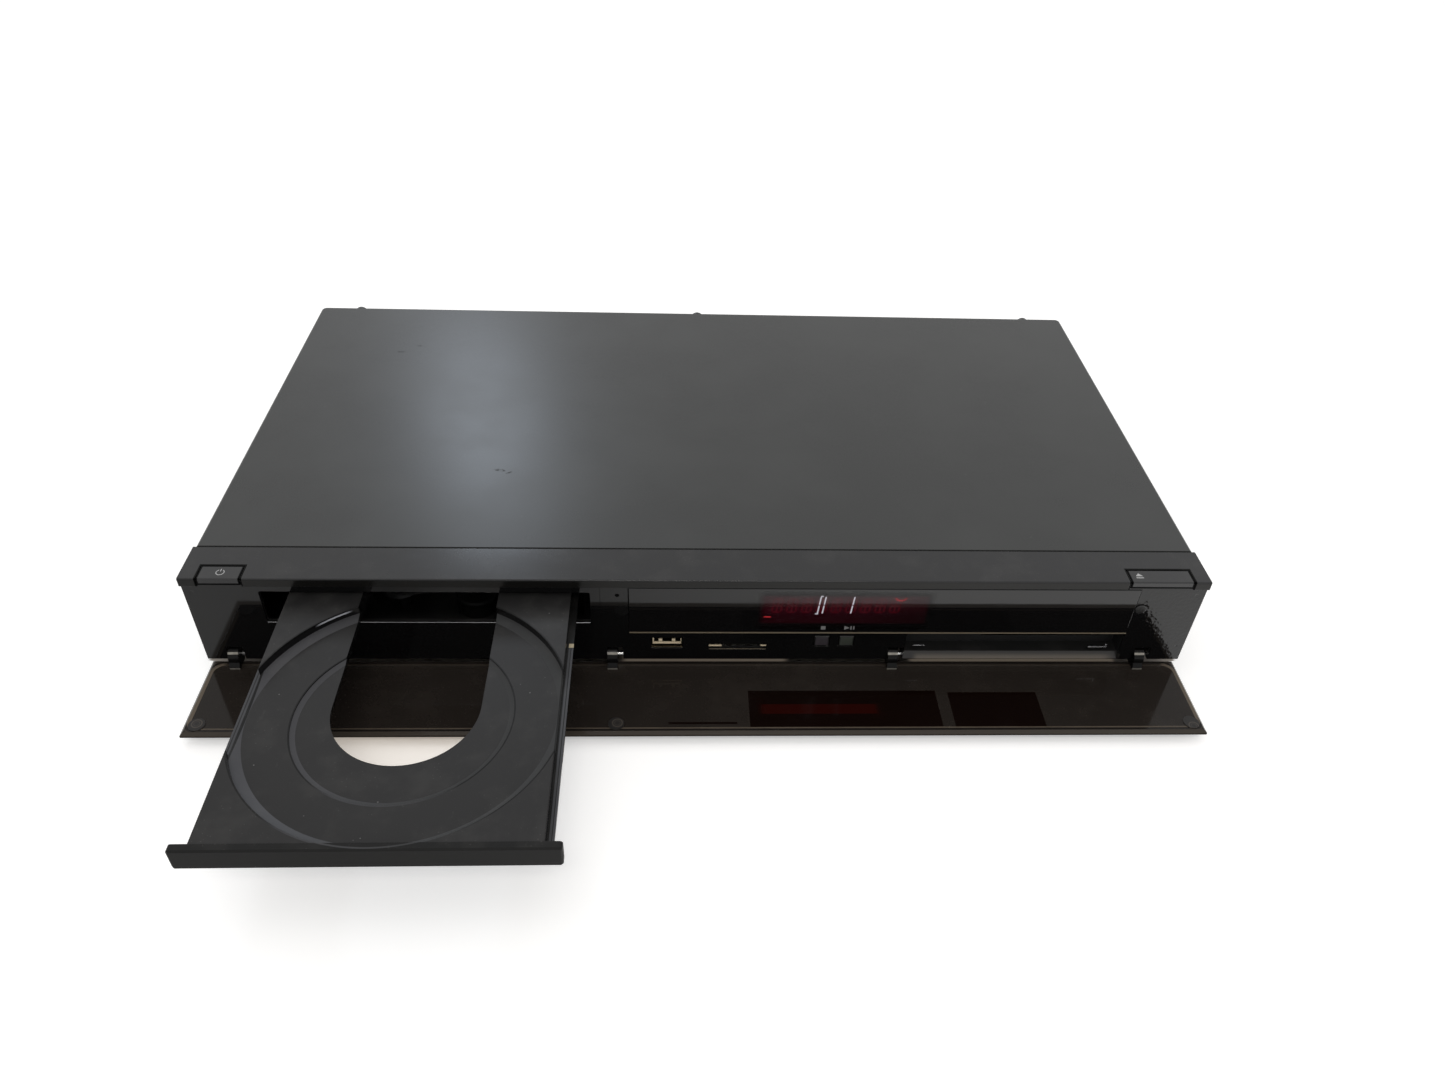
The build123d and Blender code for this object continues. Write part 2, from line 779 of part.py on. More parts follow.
def port_cuts():
    """The openings in the strip below the display window, and the pin hole beside it."""
    gap = part_gap
    front = fascia_recess - 1
    back = fascia_back + 1
    half, tall = usb_width / 2 + gap, usb_height / 2 + gap
    cuts = [block(usb_x - half, usb_x + half, front, back, usb_z - tall, usb_z + tall)]
    half = card_width / 2
    low = port_board_top + gap
    cuts.append(block(card_x - half, card_x + half, front, back, low, low + card_height))
    half, tall = key_width / 2 + gap, key_height / 2 + gap
    for x in (stop_key_x, play_key_x):
        cuts.append(block(x - half, x + half, front, back, key_z - tall, key_z + tall))
    cuts.append(run_y(window(recess_left, recess_right, recess_bottom, recess_top, 0.8),
                      front, fascia_recess + recess_depth))
    slope = polygon((front, recess_bottom - recess_slope - 1), (front, recess_bottom + 1),
                    (fascia_back, recess_bottom + 1), (fascia_back, recess_bottom),
                    (fascia_recess, recess_bottom - recess_slope))
    cuts.append(run_x(slope, recess_left, recess_right))
    half, tall = module_width / 2, module_height / 2
    cuts.append(block(module_x - half, module_x + half, fascia_recess,
                      fascia_recess + recess_depth + recess_wall + 1, module_z - tall,
                      module_z + tall))
    pin_x = opening_right + window_gap / 2 + 3.35
    cuts.append(bar_y(pin_x, opening_top - 1.6, front, back, 0.9))
    return cuts


def display_window():
    front = fascia_recess - window_proud
    outline = window(window_left, window_right, window_bottom, window_top, 0.4)
    sheet = run_y(outline, front, front + window_sheet)
    return chamfer(sheet.faces().sort_by(Axis.Y)[0].edges(), 0.25)


def display_tube():
    y = display_board_y - part_gap
    right = tube_left + tube_width
    tube = block(tube_left, right, y - tube_depth, y, window_middle - tube_height / 2,
                 window_middle + tube_height / 2)
    tube = chamfer(tube.edges().filter_by(Axis.Y), 1.2)
    return tube + bar_x(right - 0.5, right + 6, y - tube_depth / 2, window_middle + 5, 1.8)


def display_board():
    front, back = display_board_y, display_board_y + board_sheet
    board = block(window_left + 1, window_right - 1, front, back, window_bottom + 1.4,
                  window_top - 0.6)
    chip_height, chip_rise = 7.0, 2.0
    for share in (0.1, 0.74, 0.88):
        x = window_left + share * window_span
        board += block(x, x + 12, back - 0.1, back + chip_rise, window_middle - chip_height / 2,
                       window_middle + chip_height / 2)
    return board


def port_board():
    low = port_board_top - board_sheet
    board = block(port_board_left, port_board_right, fascia_back + 3.5, port_board_back,
                  low, port_board_top)
    riser_y = key_switch_y() + switch_height
    board += block(stop_key_x - 6, play_key_x + 6, riser_y, riser_y + board_sheet,
                   port_board_top - 0.1, key_z + 5)
    return board


def key_switch_y():
    """Front of the small switches behind the stop and play keys."""
    return fascia_back + key_stem + part_gap + key_flange + press_travel + 1.2


def key_switches():
    """Four small press switches, two behind the keys and two under the top buttons."""
    half = switch_size / 2
    switches = []
    for x in (stop_key_x, play_key_x):
        y = key_switch_y()
        body = block(x - half, x + half, y, y + switch_height, key_z - half, key_z + half)
        switches.append(body + block(x - 1.5, x + 1.5, y - 0.9, y + 0.1, key_z - 1, key_z + 1))
    for left, right in top_button_places():
        x, y = (left + right) / 2, top_switch_y()
        top = shelf_z + switch_height
        body = block(x - half, x + half, y - half, y + half, shelf_z, top)
        switches.append(body + block(x - 1.5, x + 1.5, y - 1, y + 1, top - 0.1, top + 0.9))
    return switches


def top_switch_y():
    """Middle of the switches under the top buttons."""
    return (fascia_back + top_button_depth + 2) / 2


def usb_shell():
    x0, x1 = usb_x - usb_width / 2, usb_x + usb_width / 2
    z0, z1 = usb_z - usb_height / 2, usb_z + usb_height / 2
    front = fascia_recess + 0.4
    shell = block(x0, x1, front, front + usb_depth, z0, z1)
    shell -= block(x0 + usb_sheet, x1 - usb_sheet, front - 1, front + usb_depth - usb_sheet,
                   z0 + usb_sheet, z1 - usb_sheet)
    for x in (x0, x1 - usb_sheet):
        shell += block(x, x + usb_sheet, front + 7, front + 9, port_board_top, z0 + 1)
    return shell


def usb_tongue():
    front = fascia_recess + 0.4
    back = front + usb_depth - usb_sheet
    top = usb_z + usb_height / 2 - usb_sheet - 0.5
    half = tongue_width / 2
    tongue = block(usb_x - half, usb_x + half, front + 2.6, back, top - tongue_height, top)
    for step in range(4):
        x = usb_x - half + 1.3 + step * (tongue_width - 2.6) / 3
        tongue += block(x - 0.5, x + 0.5, front + 3, back - 1, top - tongue_height - 0.2,
                        top - tongue_height + 0.1)
    return tongue


def card_socket():
    half = card_width / 2 + 1.2
    front = fascia_back + part_gap
    low = port_board_top
    high = low + card_height + 1.0
    body = block(card_x - half, card_x + half, front, front + card_depth, low, high)
    return body - block(card_x - half + 1, card_x + half - 1, front - 1, front + card_depth - 2,
                        low + 0.5, high - 0.5)


def module_cage():
    """Open guide that the access module slides into, behind the recess."""
    half = module_width / 2
    front = fascia_recess + recess_depth + recess_wall
    z0, z1 = module_z - module_height / 2, module_z + module_height / 2
    cage = block(module_x - half - cage_wall, module_x + half + cage_wall, front,
                 front + module_depth, z0 - cage_wall, z1 + cage_wall)
    cage -= block(module_x - half, module_x + half, front - 1, front + module_depth - 4, z0, z1)
    hole, pitch = 15.0, 23.0
    for step in range(3):
        y = front + 10 + step * pitch
        cage -= block(module_x - half / 1.5, module_x + half / 1.5, y, y + hole,
                      z1 - 1, z1 + cage_wall + 1)
    return cage


def top_button(left, right):
    """An angle-shaped cap on the front edge with a stem to its switch."""
    low = lip_z + press_travel + 0.1
    outline = polygon((0, low), (0, strip_z), (top_button_depth, strip_z), (top_button_depth, low))
    front_top = outline.vertices().sort_by(Axis.Y)[-2:].sort_by(Axis.X)[:1]
    cap = run_x(fillet(front_top, edge_round), left, right)
    middle, y = (left + right) / 2, top_switch_y()
    plunger = shelf_z + switch_height + 0.9
    return cap + block(middle - 2.5, middle + 2.5, y - 1.4, y + 1.4, plunger + press_travel + 0.1,
                       low + 0.1)


def front_key(x):
    """A square key through the fascia, held by a flange behind it."""
    front = fascia_recess - key_proud
    flange = fascia_back + part_gap
    half, tall = key_width / 2, key_height / 2
    key = block(x - half, x + half, front, flange + 0.5, key_z - tall, key_z + tall)
    key = chamfer(key.faces().sort_by(Axis.Y)[0].edges(), 0.2)
    key += block(x - half - 1, x + half + 1, flange, flange + key_flange, key_z - tall - 0.9,
                 key_z + tall + 0.9)
    return key + block(x - 1.5, x + 1.5, flange, key_switch_y() - 0.9 - press_travel - 0.1,
                       key_z - 1, key_z + 1)


# Door, its ears and the rod they hang on


def door_panel():
    sheet = block(-panel_half, panel_half, door_closed_front, door_closed_back,
                  door_bottom, door_top)
    inner = sheet.faces().sort_by(Axis.Y)[-1]
    sheet = chamfer(inner.edges(), door_bevel)
    outer = sheet.faces().sort_by(Axis.Y)[0]
    return opened(chamfer(outer.edges(), 0.4))


def door_ears():
    """Hooked ears on the door's inner face, drawn open, each turning on the rod."""
    reach = hinge_y - door_closed_back
    frame = polygon((-ear_radius, -reach), (0, -reach), (ear_back, -ear_back),
                    (ear_back, ear_radius), (-ear_radius, ear_radius))
    toe = polygon((-ear_toe, -reach), (-ear_toe, ear_toe_height - reach),
                  (-ear_radius + 0.6, 0.4), (-2, 0), (-2, -reach))
    outline = (Circle(ear_radius) & frame) + toe - Circle(rod_radius + running_gap)
    half = ear_width / 2
    return [Pos(0, hinge_y, hinge_z) * run_x(outline, x - half, x + half) for x in ear_positions]


def door_pads():
    """Thin round bumpers on the door's inner face."""
    z = door_top - pad_drop
    places = (pad_inset - panel_half, window_left - 4.7, panel_half - pad_inset)
    back = door_closed_back
    return [opened(bar_y(x, z, back, back + pad_thickness, pad_radius)) for x in places]


def hinge_rod():
    """The rod through the ears, with the lever that lifts it as the tray comes in."""
    end = panel_half - panel_wall - 0.5
    rod = bar_x(-end, end, hinge_y, hinge_z, rod_radius)
    half = lever_width / 2
    outline = polygon((-0.9, 0), (1.5, 0), (1.5, lever_length), (-0.6, lever_length))
    outline = Pos(hinge_y, hinge_z) * outline
    rod += run_x(outline, lever_x - half, lever_x + half)
    tip = hinge_z + lever_length - 1.6
    return rod + bar_x(lever_x, lever_x + 4.5, hinge_y, tip, 0.9)


# Tray


def cut_outline(grow):
    """The tray's cut-out, round at the front and open to the back."""
    radius = cut_radius + grow
    rest = tray_back + 1 - cut_y
    return Pos(tray_x, cut_y) * (Circle(radius) + Pos(0, rest / 2) * Rectangle(2 * radius, rest))


def tray_plate():
    """The flat plate with its skirts, hollowed from below."""
    front = lip_front + front_lip_depth
    half = plate_width / 2
    plate = block(tray_x - half, tray_x + half, front - 0.1, tray_back, skirt_bottom, tray_top)
    side = rail_width / 2
    plate += block(tray_x - side, tray_x + side, front - 0.1, tray_back, rail_bottom,
                   rail_bottom + rail_height)
    inner = half - tray_wall
    hollow = block(tray_x - inner, tray_x + inner, front + tray_wall, tray_back - tray_wall,
                   skirt_bottom - 1, plate_under)
    corners = block(tray_x - inner, tray_x + inner, front + tray_wall, tray_back - tray_wall,
                    skirt_bottom - 1, tray_top - tray_wall)
    corners -= upright(tray_x, disc_y, 0, body_height, disc_radius + tray_wall)
    corners -= raised(cut_outline(tray_wall), 0, body_height)
    rack = rack_line - rack_web - 1.5
    corners -= block(rack, rack_line + 1.5, lip_front, tray_back, 0, body_height)
    return plate - hollow - corners


def rack_outline():
    """Rack teeth along Y that point to the right, with a gap opposite the pinion."""
    pitch = pi * rack_module
    rise = tan(radians(flank_angle))
    half = tooth_fill * pitch / 4
    tip = addendum_share * rack_module
    root = dedendum_share * rack_module
    count = int(tray_travel / pitch) + 3
    first = gear_y + pitch * 1.5
    points = [(rack_line - rack_web, first + pitch / 2)]
    for tooth in range(count):
        y = first - tooth * pitch
        points += [(rack_line - root, y + half + root * rise), (rack_line + tip, y + half - tip * rise),
                   (rack_line + tip, y - half + tip * rise), (rack_line - root, y - half - root * rise)]
    points.append((rack_line - rack_web, first - (count - 0.5) * pitch))
    return polygon(*points)


def disc_hollow(radius, floor, width, drop):
    """A round hollow whose floor rises in a slope to the wall, so that a disc rests on its rim."""
    slope = Cone(radius - width, radius, drop)
    slope = Pos(tray_x, disc_y, floor + drop / 2) * slope
    return slope + upright(tray_x, disc_y, floor + drop, body_height, radius)


def tray():
    body = tray_plate()
    body += raised(rack_outline(), rack_bottom, plate_under + 0.1)
    body -= disc_hollow(disc_radius, floor_z, slope_width, slope_drop)
    body -= disc_hollow(small_disc_radius, small_floor_z, small_slope_width, small_slope_drop)
    body -= raised(cut_outline(0), 0, body_height)
    top_face = body.faces().filter_by(Axis.Z).sort_by(Axis.Z)[-1]
    body = chamfer(top_face.edges(), tray_bevel)
    top = tray_top + front_lip_rise
    half = front_lip_width / 2
    lip = run_y(window(tray_x - half, tray_x + half, top - front_lip_height, top, 1.2),
                lip_front, lip_front + front_lip_depth)
    return body + chamfer(lip.faces().sort_by(Axis.Y)[0].edges(), 0.6)


# Disc drive


def drive_frame():
    """Moulded base with two side walls that the tray's rails run in."""
    out = drive_half
    wall = out - drive_wall
    rail = plate_width / 2 + 0.6
    low, floor = drive_floor_z, motor_low
    ledge = rail_bottom - part_gap
    cap = rail_bottom + rail_height + part_gap
    half = [(0, low), (out, low), (out, drive_top), (wall, drive_top), (wall, cap + 2),
            (wall - 1.4, cap + 2), (wall - 1.4, cap), (wall, cap), (wall, ledge), (rail, ledge),
            (rail, ledge - 2.4), (wall, ledge - 3.4), (wall, floor), (0, floor)]
    section = polygon(*half, *[(-x, z) for x, z in reversed(half)][1:-1])
    frame = Pos(tray_x, 0, 0) * run_y(section, drive_front, drive_back)
    frame += block(tray_x - wall - 0.1, tray_x + wall + 0.1, drive_back - drive_wall, drive_back,
                   low, rail_bottom - 4)
    frame -= block(tray_x - 36, tray_x + 36, carrier_window_front, carrier_axle_y - 16, low - 1,
                   floor + 1)
    for side in (-1, 1):
        x = tray_x + side * (carrier_half + 2.6)
        frame += block(x - 1.5, x + 1.5, carrier_axle_y - 6, carrier_axle_y + 6, low + 1,
                       carrier_axle_z)
        frame += bar_x(x - 1.5, x + 1.5, carrier_axle_y, carrier_axle_z, 4)
    bore = axle_radius + running_gap
    reach = carrier_half + 6
    frame -= bar_x(tray_x - reach, tray_x + reach, carrier_axle_y, carrier_axle_z, bore)
    frame += [block(x - 4, x + 4, y - 4, y + 4, pan_top, low + 0.1)
              for x, y in drive_foot_places()]
    frame += block(tray_x - 30, tray_x + 52, cam_y, cam_y + cam_sheet, low + 1,
                   cam_bottom - part_gap)
    frame += gear_pin(gear_x, wheel_z, pinion_z, wheel_pin)
    return frame + gear_pin(idler_x, pulley_z, wheel_z, idler_pin)


def gear_pin(x, low, high, radius):
    """A pin from the drive's floor with a collar under the gear that turns on it."""
    collar = upright(x, gear_y, drive_floor_z + 1, low - part_gap, radius + pin_collar)
    return collar + upright(x, gear_y, drive_floor_z + 1, high + gear_height + 0.6, radius)


def drive_foot_places():
    half = drive_half - 7
    ends = (drive_front + 7, drive_back - 7)
    return [(tray_x + side * half, y) for side in (-1, 1) for y in ends]


def clamp_bridge():
    """Steel strap over the tray with a hole for the clamping puck."""
    out = drive_half
    z0, z1 = bridge_z, bridge_z + bridge_sheet
    section = polygon((-out, drive_top), (-out, z1), (out, z1), (out, drive_top),
                      (out - drive_wall, drive_top), (out - drive_wall, z0),
                      (drive_wall - out, z0), (drive_wall - out, drive_top))
    half = bridge_depth / 2
    strap = Pos(tray_x, 0, 0) * run_y(section, loaded_y - half, loaded_y + half)
    strap += upright(tray_x, loaded_y, z0, z1, bridge_depth / 2 + 3)
    return strap - upright(tray_x, loaded_y, z0 - 1, z1 + 1, puck_hub_radius + 0.8)


def clamp_puck():
    top = bridge_z + bridge_sheet + part_gap
    profile = polygon((0, puck_hub_bottom), (puck_hub_radius, puck_hub_bottom),
                      (puck_hub_radius, top), (puck_radius, top),
                      (puck_radius - 1, top + puck_height), (0, top + puck_height))
    return Pos(tray_x, loaded_y, 0) * revolve(Plane.XZ * profile, Axis.Z)


def loading_wheel():
    """Compound gear: the wheel below is driven, the pinion above drives the rack."""
    seat = wheel_z + gear_height
    wheel = gear(gear_x, gear_y, wheel_z, seat, wheel_teeth, train_module, 0)
    wheel += gear(gear_x, gear_y, seat - 0.1, pinion_z + gear_height, pinion_teeth, rack_module, 180)
    return wheel - upright(gear_x, gear_y, wheel_z - 1, pinion_z + 10, wheel_pin + running_gap)


def pulley(x, z, groove, height):
    """A pulley with a tapered groove, standing on Z."""
    rim = groove + belt_size * 0.9
    middle = z + height / 2
    half = belt_size * 0.4
    profile = polygon((0, z), (rim, z), (groove, middle - half), (groove, middle + half),
                      (rim, z + height), (0, z + height))
    return Pos(x, gear_y, 0) * revolve(Plane.XZ * profile, Axis.Z)


def idler_pulley():
    """Belt pulley below, with the small gear that drives the wheel above."""
    half_pitch = 180 / idler_teeth
    part = gear(idler_x, gear_y, pulley_z + 1, wheel_z + gear_height, idler_teeth, train_module,
                half_pitch)
    part += pulley(idler_x, pulley_z, idler_groove, pulley_height)
    return part - upright(idler_x, gear_y, 0, body_height, idler_pin + running_gap)


def motor_pulley():
    shaft = upright(motor_x, gear_y, motor_low + 2, pulley_z + 1, 1.0)
    return shaft + pulley(motor_x, pulley_z, motor_groove, pulley_height)


def loading_motor():
    top = motor_low + motor_height
    can = upright(motor_x, gear_y, motor_low, top, motor_radius)
    can = chamfer(can.edges().sort_by(Axis.Z)[-1], 0.8)
    can += upright(motor_x, gear_y, top - 0.1, top + motor_boss, 3)
    return can - upright(motor_x, gear_y, motor_low + 1, top + 2, 1.0 + running_gap)


def drive_belt():
    """Rubber belt in the grooves of the idler pulley and the motor pulley."""
    z = pulley_z + pulley_height / 2
    span = motor_x - idler_x
    inner = belt_loop(span, part_gap)
    outer = belt_loop(span, part_gap + belt_size * 0.6)
    return raised(outer - inner, z - belt_size / 3, z + belt_size / 3)


def belt_loop(span, grow):
    """The outline round both pulleys, grown by a distance."""
    big, small = idler_groove + grow, motor_groove + grow
    lean = (big - small) / span
    rise = sqrt(1 - lean**2)
    side = [(idler_x + big * lean, gear_y + big * rise), (motor_x + small * lean, gear_y + small * rise)]
    tangent = polygon(*side, *[(x, 2 * gear_y - y) for x, y in reversed(side)])
    return tangent + Pos(idler_x, gear_y) * Circle(big) + Pos(motor_x, gear_y) * Circle(small)


# Pickup carrier


def carrier_frame():
    """Stamped plate with ribs, notched rod holders, its rear axle and the cam pin."""
    half, z = carrier_half, carrier_z
    back = carrier_axle_y - 4
    outline = Pos(tray_x, (carrier_front + back) / 2) * RectangleRounded(
        2 * half, back - carrier_front, 4)
    hole = Pos(tray_x, (carrier_window_front + carrier_window_back) / 2) * Rectangle(
        2 * carrier_window_half, carrier_window_back - carrier_window_front)
    plate = raised(outline - hole - Pos(tray_x, loaded_y) * Circle(spindle_radius + 2), z,
                   z + carrier_sheet)
    for x in (-guide_rod_offset, guide_rod_offset):
        for y in (carrier_window_front - 3.2, carrier_window_back + 0.2):
            plate += notched_holder(tray_x + x, y, guide_rod_z, guide_rod_radius)
    plate += notched_holder(tray_x + screw_offset, carrier_window_back - 2.6, lead_screw_z,
                            lead_screw_radius)
    for side in (-1, 1):
        x = tray_x + side * (half - 2)
        plate += block(x - 2, x + 2, back - 6, carrier_axle_y + 3, z - 4, z + carrier_sheet)
        end = x + side * 6.4
        plate += bar_x(min(x, end), max(x, end), carrier_axle_y, carrier_axle_z, axle_radius)
    pin_z = carrier_z - cam_pin_drop
    x = tray_x + cam_pin_x
    plate += block(x - 4, x + 4, carrier_front, carrier_front + 2.4, pin_z - 3, z + 0.1)
    plate += bar_y(x, pin_z, cam_y - 0.6, carrier_front + 1, cam_pin_radius)
    return lowered(plate)


def notched_holder(x, y, z, radius):
    """A lug under the carrier plate with a square notch, open below, round a rod."""
    room = radius + running_gap
    lug = block(x - radius - 1.9, x + radius + 1.9, y, y + 2.6, z - radius - 1, carrier_z + 0.1)
    return lug - block(x - room, x + room, y - 1, y + 4, z - radius - 2, z + room)


def cam_slider():
    """Bar across the drive with a slanting slot that lifts the carrier's pin."""
    left = tray_x + cam_left
    front, back = cam_y - 1, cam_y + cam_sheet + 1
    bar = block(left, left + cam_length, cam_y, cam_y + cam_sheet, cam_bottom, cam_top)
    low_z, high_z = cam_pin_height(0), cam_pin_height(carrier_tilt)
    x = tray_x + cam_pin_x
    radius = cam_pin_radius + part_gap
    rest = 1.2
    ends = [(x + rest, low_z), (x, low_z), (x - cam_travel, high_z),
            (x - cam_travel - rest, high_z)]
    slot = Circle(0.01)
    for (ax, az), (bx, bz) in zip(ends, ends[1:]):
        length = sqrt((bx - ax) ** 2 + (bz - az) ** 2)
        turn = degrees(atan2(bz - az, bx - ax))
        middle = Pos((ax + bx) / 2, (az + bz) / 2) * Rot(0, 0, turn)
        slot += middle * SlotOverall(length + 2 * radius, 2 * radius)
    bar -= run_y(slot, front, back)
    hole, pitch = 7.0, 11.0
    for step in range(2):
        x0 = left + 30 + step * pitch
        bar -= block(x0, x0 + hole, front, back, cam_bottom + 4, cam_bottom + 12)
    return bar


def cam_pin_height(lift):
    """Height of the carrier's pin when the carrier has been raised by lift degrees."""
    angle = radians(carrier_tilt - lift)
    dy = cam_y + cam_sheet / 2 - carrier_axle_y
    dz = carrier_z - cam_pin_drop - carrier_axle_z
    return carrier_axle_z + dz * cos(angle) + dy * tan(angle)


def spindle_motor():
    z = carrier_z
    can = upright(tray_x, loaded_y, z - rotor_height, z, rotor_radius)
    can = chamfer(can.edges().sort_by(Axis.Z)[0], 0.8)
    bore = spindle_radius + running_gap
    return lowered(can - upright(tray_x, loaded_y, z - rotor_height + 1.4, z + 1, bore))


def turntable():
    """Rotor bell, table and disc hub on one shaft."""
    top = turntable_top
    bell = carrier_z + carrier_sheet + 0.6
    shaft = spindle_radius
    foot = carrier_z - rotor_height + 1.8
    profile = polygon((0, foot), (shaft, foot), (shaft, bell), (rotor_radius, bell),
                      (turntable_radius, top), (hub_radius, top),
                      (hub_radius - 0.9, top + hub_rise), (0, top + hub_rise))
    return lowered(Pos(tray_x, loaded_y, 0) * revolve(Plane.XZ * profile, Axis.Z))


def guide_rods():
    y0, y1 = carrier_window_front - 5, carrier_window_back + 4.6
    return [lowered(bar_y(tray_x + x, guide_rod_z, y0, y1, guide_rod_radius))
            for x in (-guide_rod_offset, guide_rod_offset)]


def pickup_sled():
    """Optical block on two rods with a nose that the lead screw drives."""
    y0, y1 = sled_y - sled_length / 2, sled_y + sled_length / 2
    z = guide_rod_z
    half = sled_half
    section = polygon((-half, z - 3.4), (half, z - 3.4), (half, sled_top - 3), (half - 8, sled_top),
                      (8 - half, sled_top), (-half, sled_top - 3))
    block_x = guide_rod_offset + 3.2
    wings = polygon((-block_x, z - 2.6), (block_x, z - 2.6), (block_x, z + 2.2), (-block_x, z + 2.2))
    sled = Pos(tray_x, 0, 0) * run_y(section + wings, y0, y1)
    nose = screw_offset - lead_screw_radius - 0.3
    sled += block(tray_x + block_x - 0.1, tray_x + nose, sled_y - 3, sled_y + 3, z - 1.4, z + 1.4)
    for x in (-guide_rod_offset, guide_rod_offset):
        sled -= bar_y(tray_x + x, z, y0 - 1, y1 + 1, guide_rod_radius + running_gap)
    sled -= upright(tray_x, sled_y, sled_top - 2, sled_top + 1, lens_radius + 1.6)
    return lowered(sled)


def pickup_lens():
    low = sled_top - 2
    profile = polygon((0, low), (lens_radius, low), (lens_radius, low + 1.4), (0, low + 2.4))
    return lowered(Pos(tray_x, sled_y, 0) * revolve(Plane.XZ * profile, Axis.Z))


def sled_motor():
    """Small motor beside the spindle, on the front end of the lead screw."""
    y1 = carrier_window_front - 8
    x = tray_x + screw_offset
    z = carrier_z
    body = block(x - 6, x + 6, y1 - 13, y1, z - 9.4, z)
    body = chamfer(body.edges().filter_by(Axis.Y), 1.2)
    return lowered(body - bar_y(x, lead_screw_z, y1 - 10, y1 + 1, lead_screw_radius + running_gap))


def lead_screw():
    x = tray_x + screw_offset
    y0 = carrier_window_front - 17
    return lowered(bar_y(x, lead_screw_z, y0, carrier_window_back + 1, lead_screw_radius))


# Units on the chassis


def disk_bracket():
    """Folded sheet that carries the hard disk on four legs."""
    x0, x1 = disk_left - 1, disk_left + disk_width + 1
    y0, y1 = disk_front + 6, disk_front + disk_depth - 6
    sheet = bracket_sheet
    top = disk_z
    section = polygon((x0 - sheet, pan_top), (x0 + 8, pan_top), (x0 + 8, pan_top + sheet),
                      (x0, pan_top + sheet), (x0, top - sheet), (x1, top - sheet),
                      (x1, pan_top + sheet), (x1 - 8, pan_top + sheet), (x1 - 8, pan_top),
                      (x1 + sheet, pan_top), (x1 + sheet, top), (x0 - sheet, top))
    bracket = run_y(section, y0, y1)
    bracket -= block(x0 + 14, x1 - 14, y0 + 16, y1 - 16, pan_top, top + 1)
    for x in (x0 - 2, x1 - 10):
        bracket -= block(x, x + 12, y0 + 22, y1 - 22, pan_top - 1, top - 4)
    return bracket


def hard_disk():
    """Cast body with a stepped lid."""
    middle = Pos(disk_left + disk_width / 2, disk_front + disk_depth / 2)
    step = 2.0
    outline = middle * RectangleRounded(disk_width, disk_depth, 3)
    lid = middle * RectangleRounded(disk_width - 5, disk_depth - 3, 6)
    body = raised(outline, disk_z, disk_z + disk_height - step)
    return body + raised(lid, disk_z + disk_height - step - 0.1, disk_z + disk_height)


def main_board():
    board = block(main_left, main_right, main_front, rear_inner - part_gap, main_board_z, board_top)
    near = main_front + 8
    board += block(main_left + 8, main_left + 30, near, near + 14, board_top - 0.1, board_top + 2)
    board += block(main_left + 10, main_left + 26, near + 24, near + 40, board_top - 0.1,
                   board_top + 2)
    return board + block(main_left + 36, main_left + 48, near, near + 22, board_top - 0.1,
                         board_top + 6)


def heat_sink():
    """Finned block on the main processor."""
    x, y = main_left + sink_inset, main_front + 10
    z = board_top
    sink = block(x, x + sink_width, y, y + sink_depth, z, z + sink_base)
    pitch = (sink_width - fin_sheet) / (sink_fins - 1)
    for fin in range(sink_fins):
        edge = x + fin * pitch
        sink += block(edge, edge + fin_sheet, y, y + sink_depth, z + sink_base - 0.1,
                      z + sink_height)
    return sink


def power_board():
    return block(power_left, power_right, power_front, rear_inner - part_gap, main_board_z,
                 board_top)


def transformer():
    """Ferrite core open at both ends, with the wound bobbin showing in it."""
    x, y, z = power_left + 14, power_front + 12, board_top
    width, depth, height, limb, foot = 28.0, 24.0, 22.0, 4.0, 5.0
    body = block(x, x + width, y, y + depth, z, z + height)
    for y0 in (y - 1, y + depth - 5):
        body -= block(x + limb, x + width - limb, y0, y0 + 6, z + foot, z + height - foot)
    return body


def capacitors():
    """One tall can near the inlet and three small ones behind the transformer."""
    cans = []
    middle = power_width / 2
    for x, y, radius, height in ((middle + 18, 20, 9, 30), (middle + 32, 46, 5, 16),
                                 (middle - 20, 60, 5, 18)):
        cans.append(upright(power_left + x, power_front + y, board_top, board_top + height, radius))
    return cans


def fan_frame():
    """Square frame with a round duct and four struts to the motor plate."""
    half = fan_size / 2
    duct = half - fan_duct_wall
    y1 = rear_inner - part_gap
    y0 = y1 - fan_depth
    frame = block(fan_x - half, fan_x + half, y0, y1, fan_z - half, fan_z + half)
    frame = chamfer(frame.edges().filter_by(Axis.Y), 2.0)
    frame -= bar_y(fan_x, fan_z, y0 - 1, y1 + 1, duct)
    frame += bar_y(fan_x, fan_z, y0, y0 + fan_plate, fan_hub_radius)
    for step in range(4):
        strut = block(-1, 1, y0, y0 + fan_plate, fan_hub_radius - 1, duct + 0.4)
        frame += Pos(fan_x, 0, fan_z) * Rot(0, 45 + 90 * step, 0) * strut
    foot = fan_z - half
    return frame + block(fan_x - half + 3, fan_x + half - 3, y0, y0 + 4, pan_top, foot + 0.1)


def fan_rotor():
    """Hub with flat blades set at a pitch."""
    y0 = rear_inner - part_gap - fan_depth + fan_plate + 0.4
    y1 = rear_inner - part_gap - 0.6
    hub = bar_y(0, 0, y0, y1, fan_hub_radius)
    tip = fan_size / 2 - fan_duct_wall - 0.8
    blade = block(-blade_sheet / 2, blade_sheet / 2, -blade_chord / 2, blade_chord / 2,
                  fan_hub_radius - 2, tip)
    blade = Pos(0, (y0 + y1) / 2, 0) * Rot(0, 0, blade_pitch) * blade
    for step in range(fan_blades):
        hub += Rot(0, step * 360 / fan_blades, 0) * blade
    return Pos(fan_x, 0, fan_z) * hub


# Rear sockets


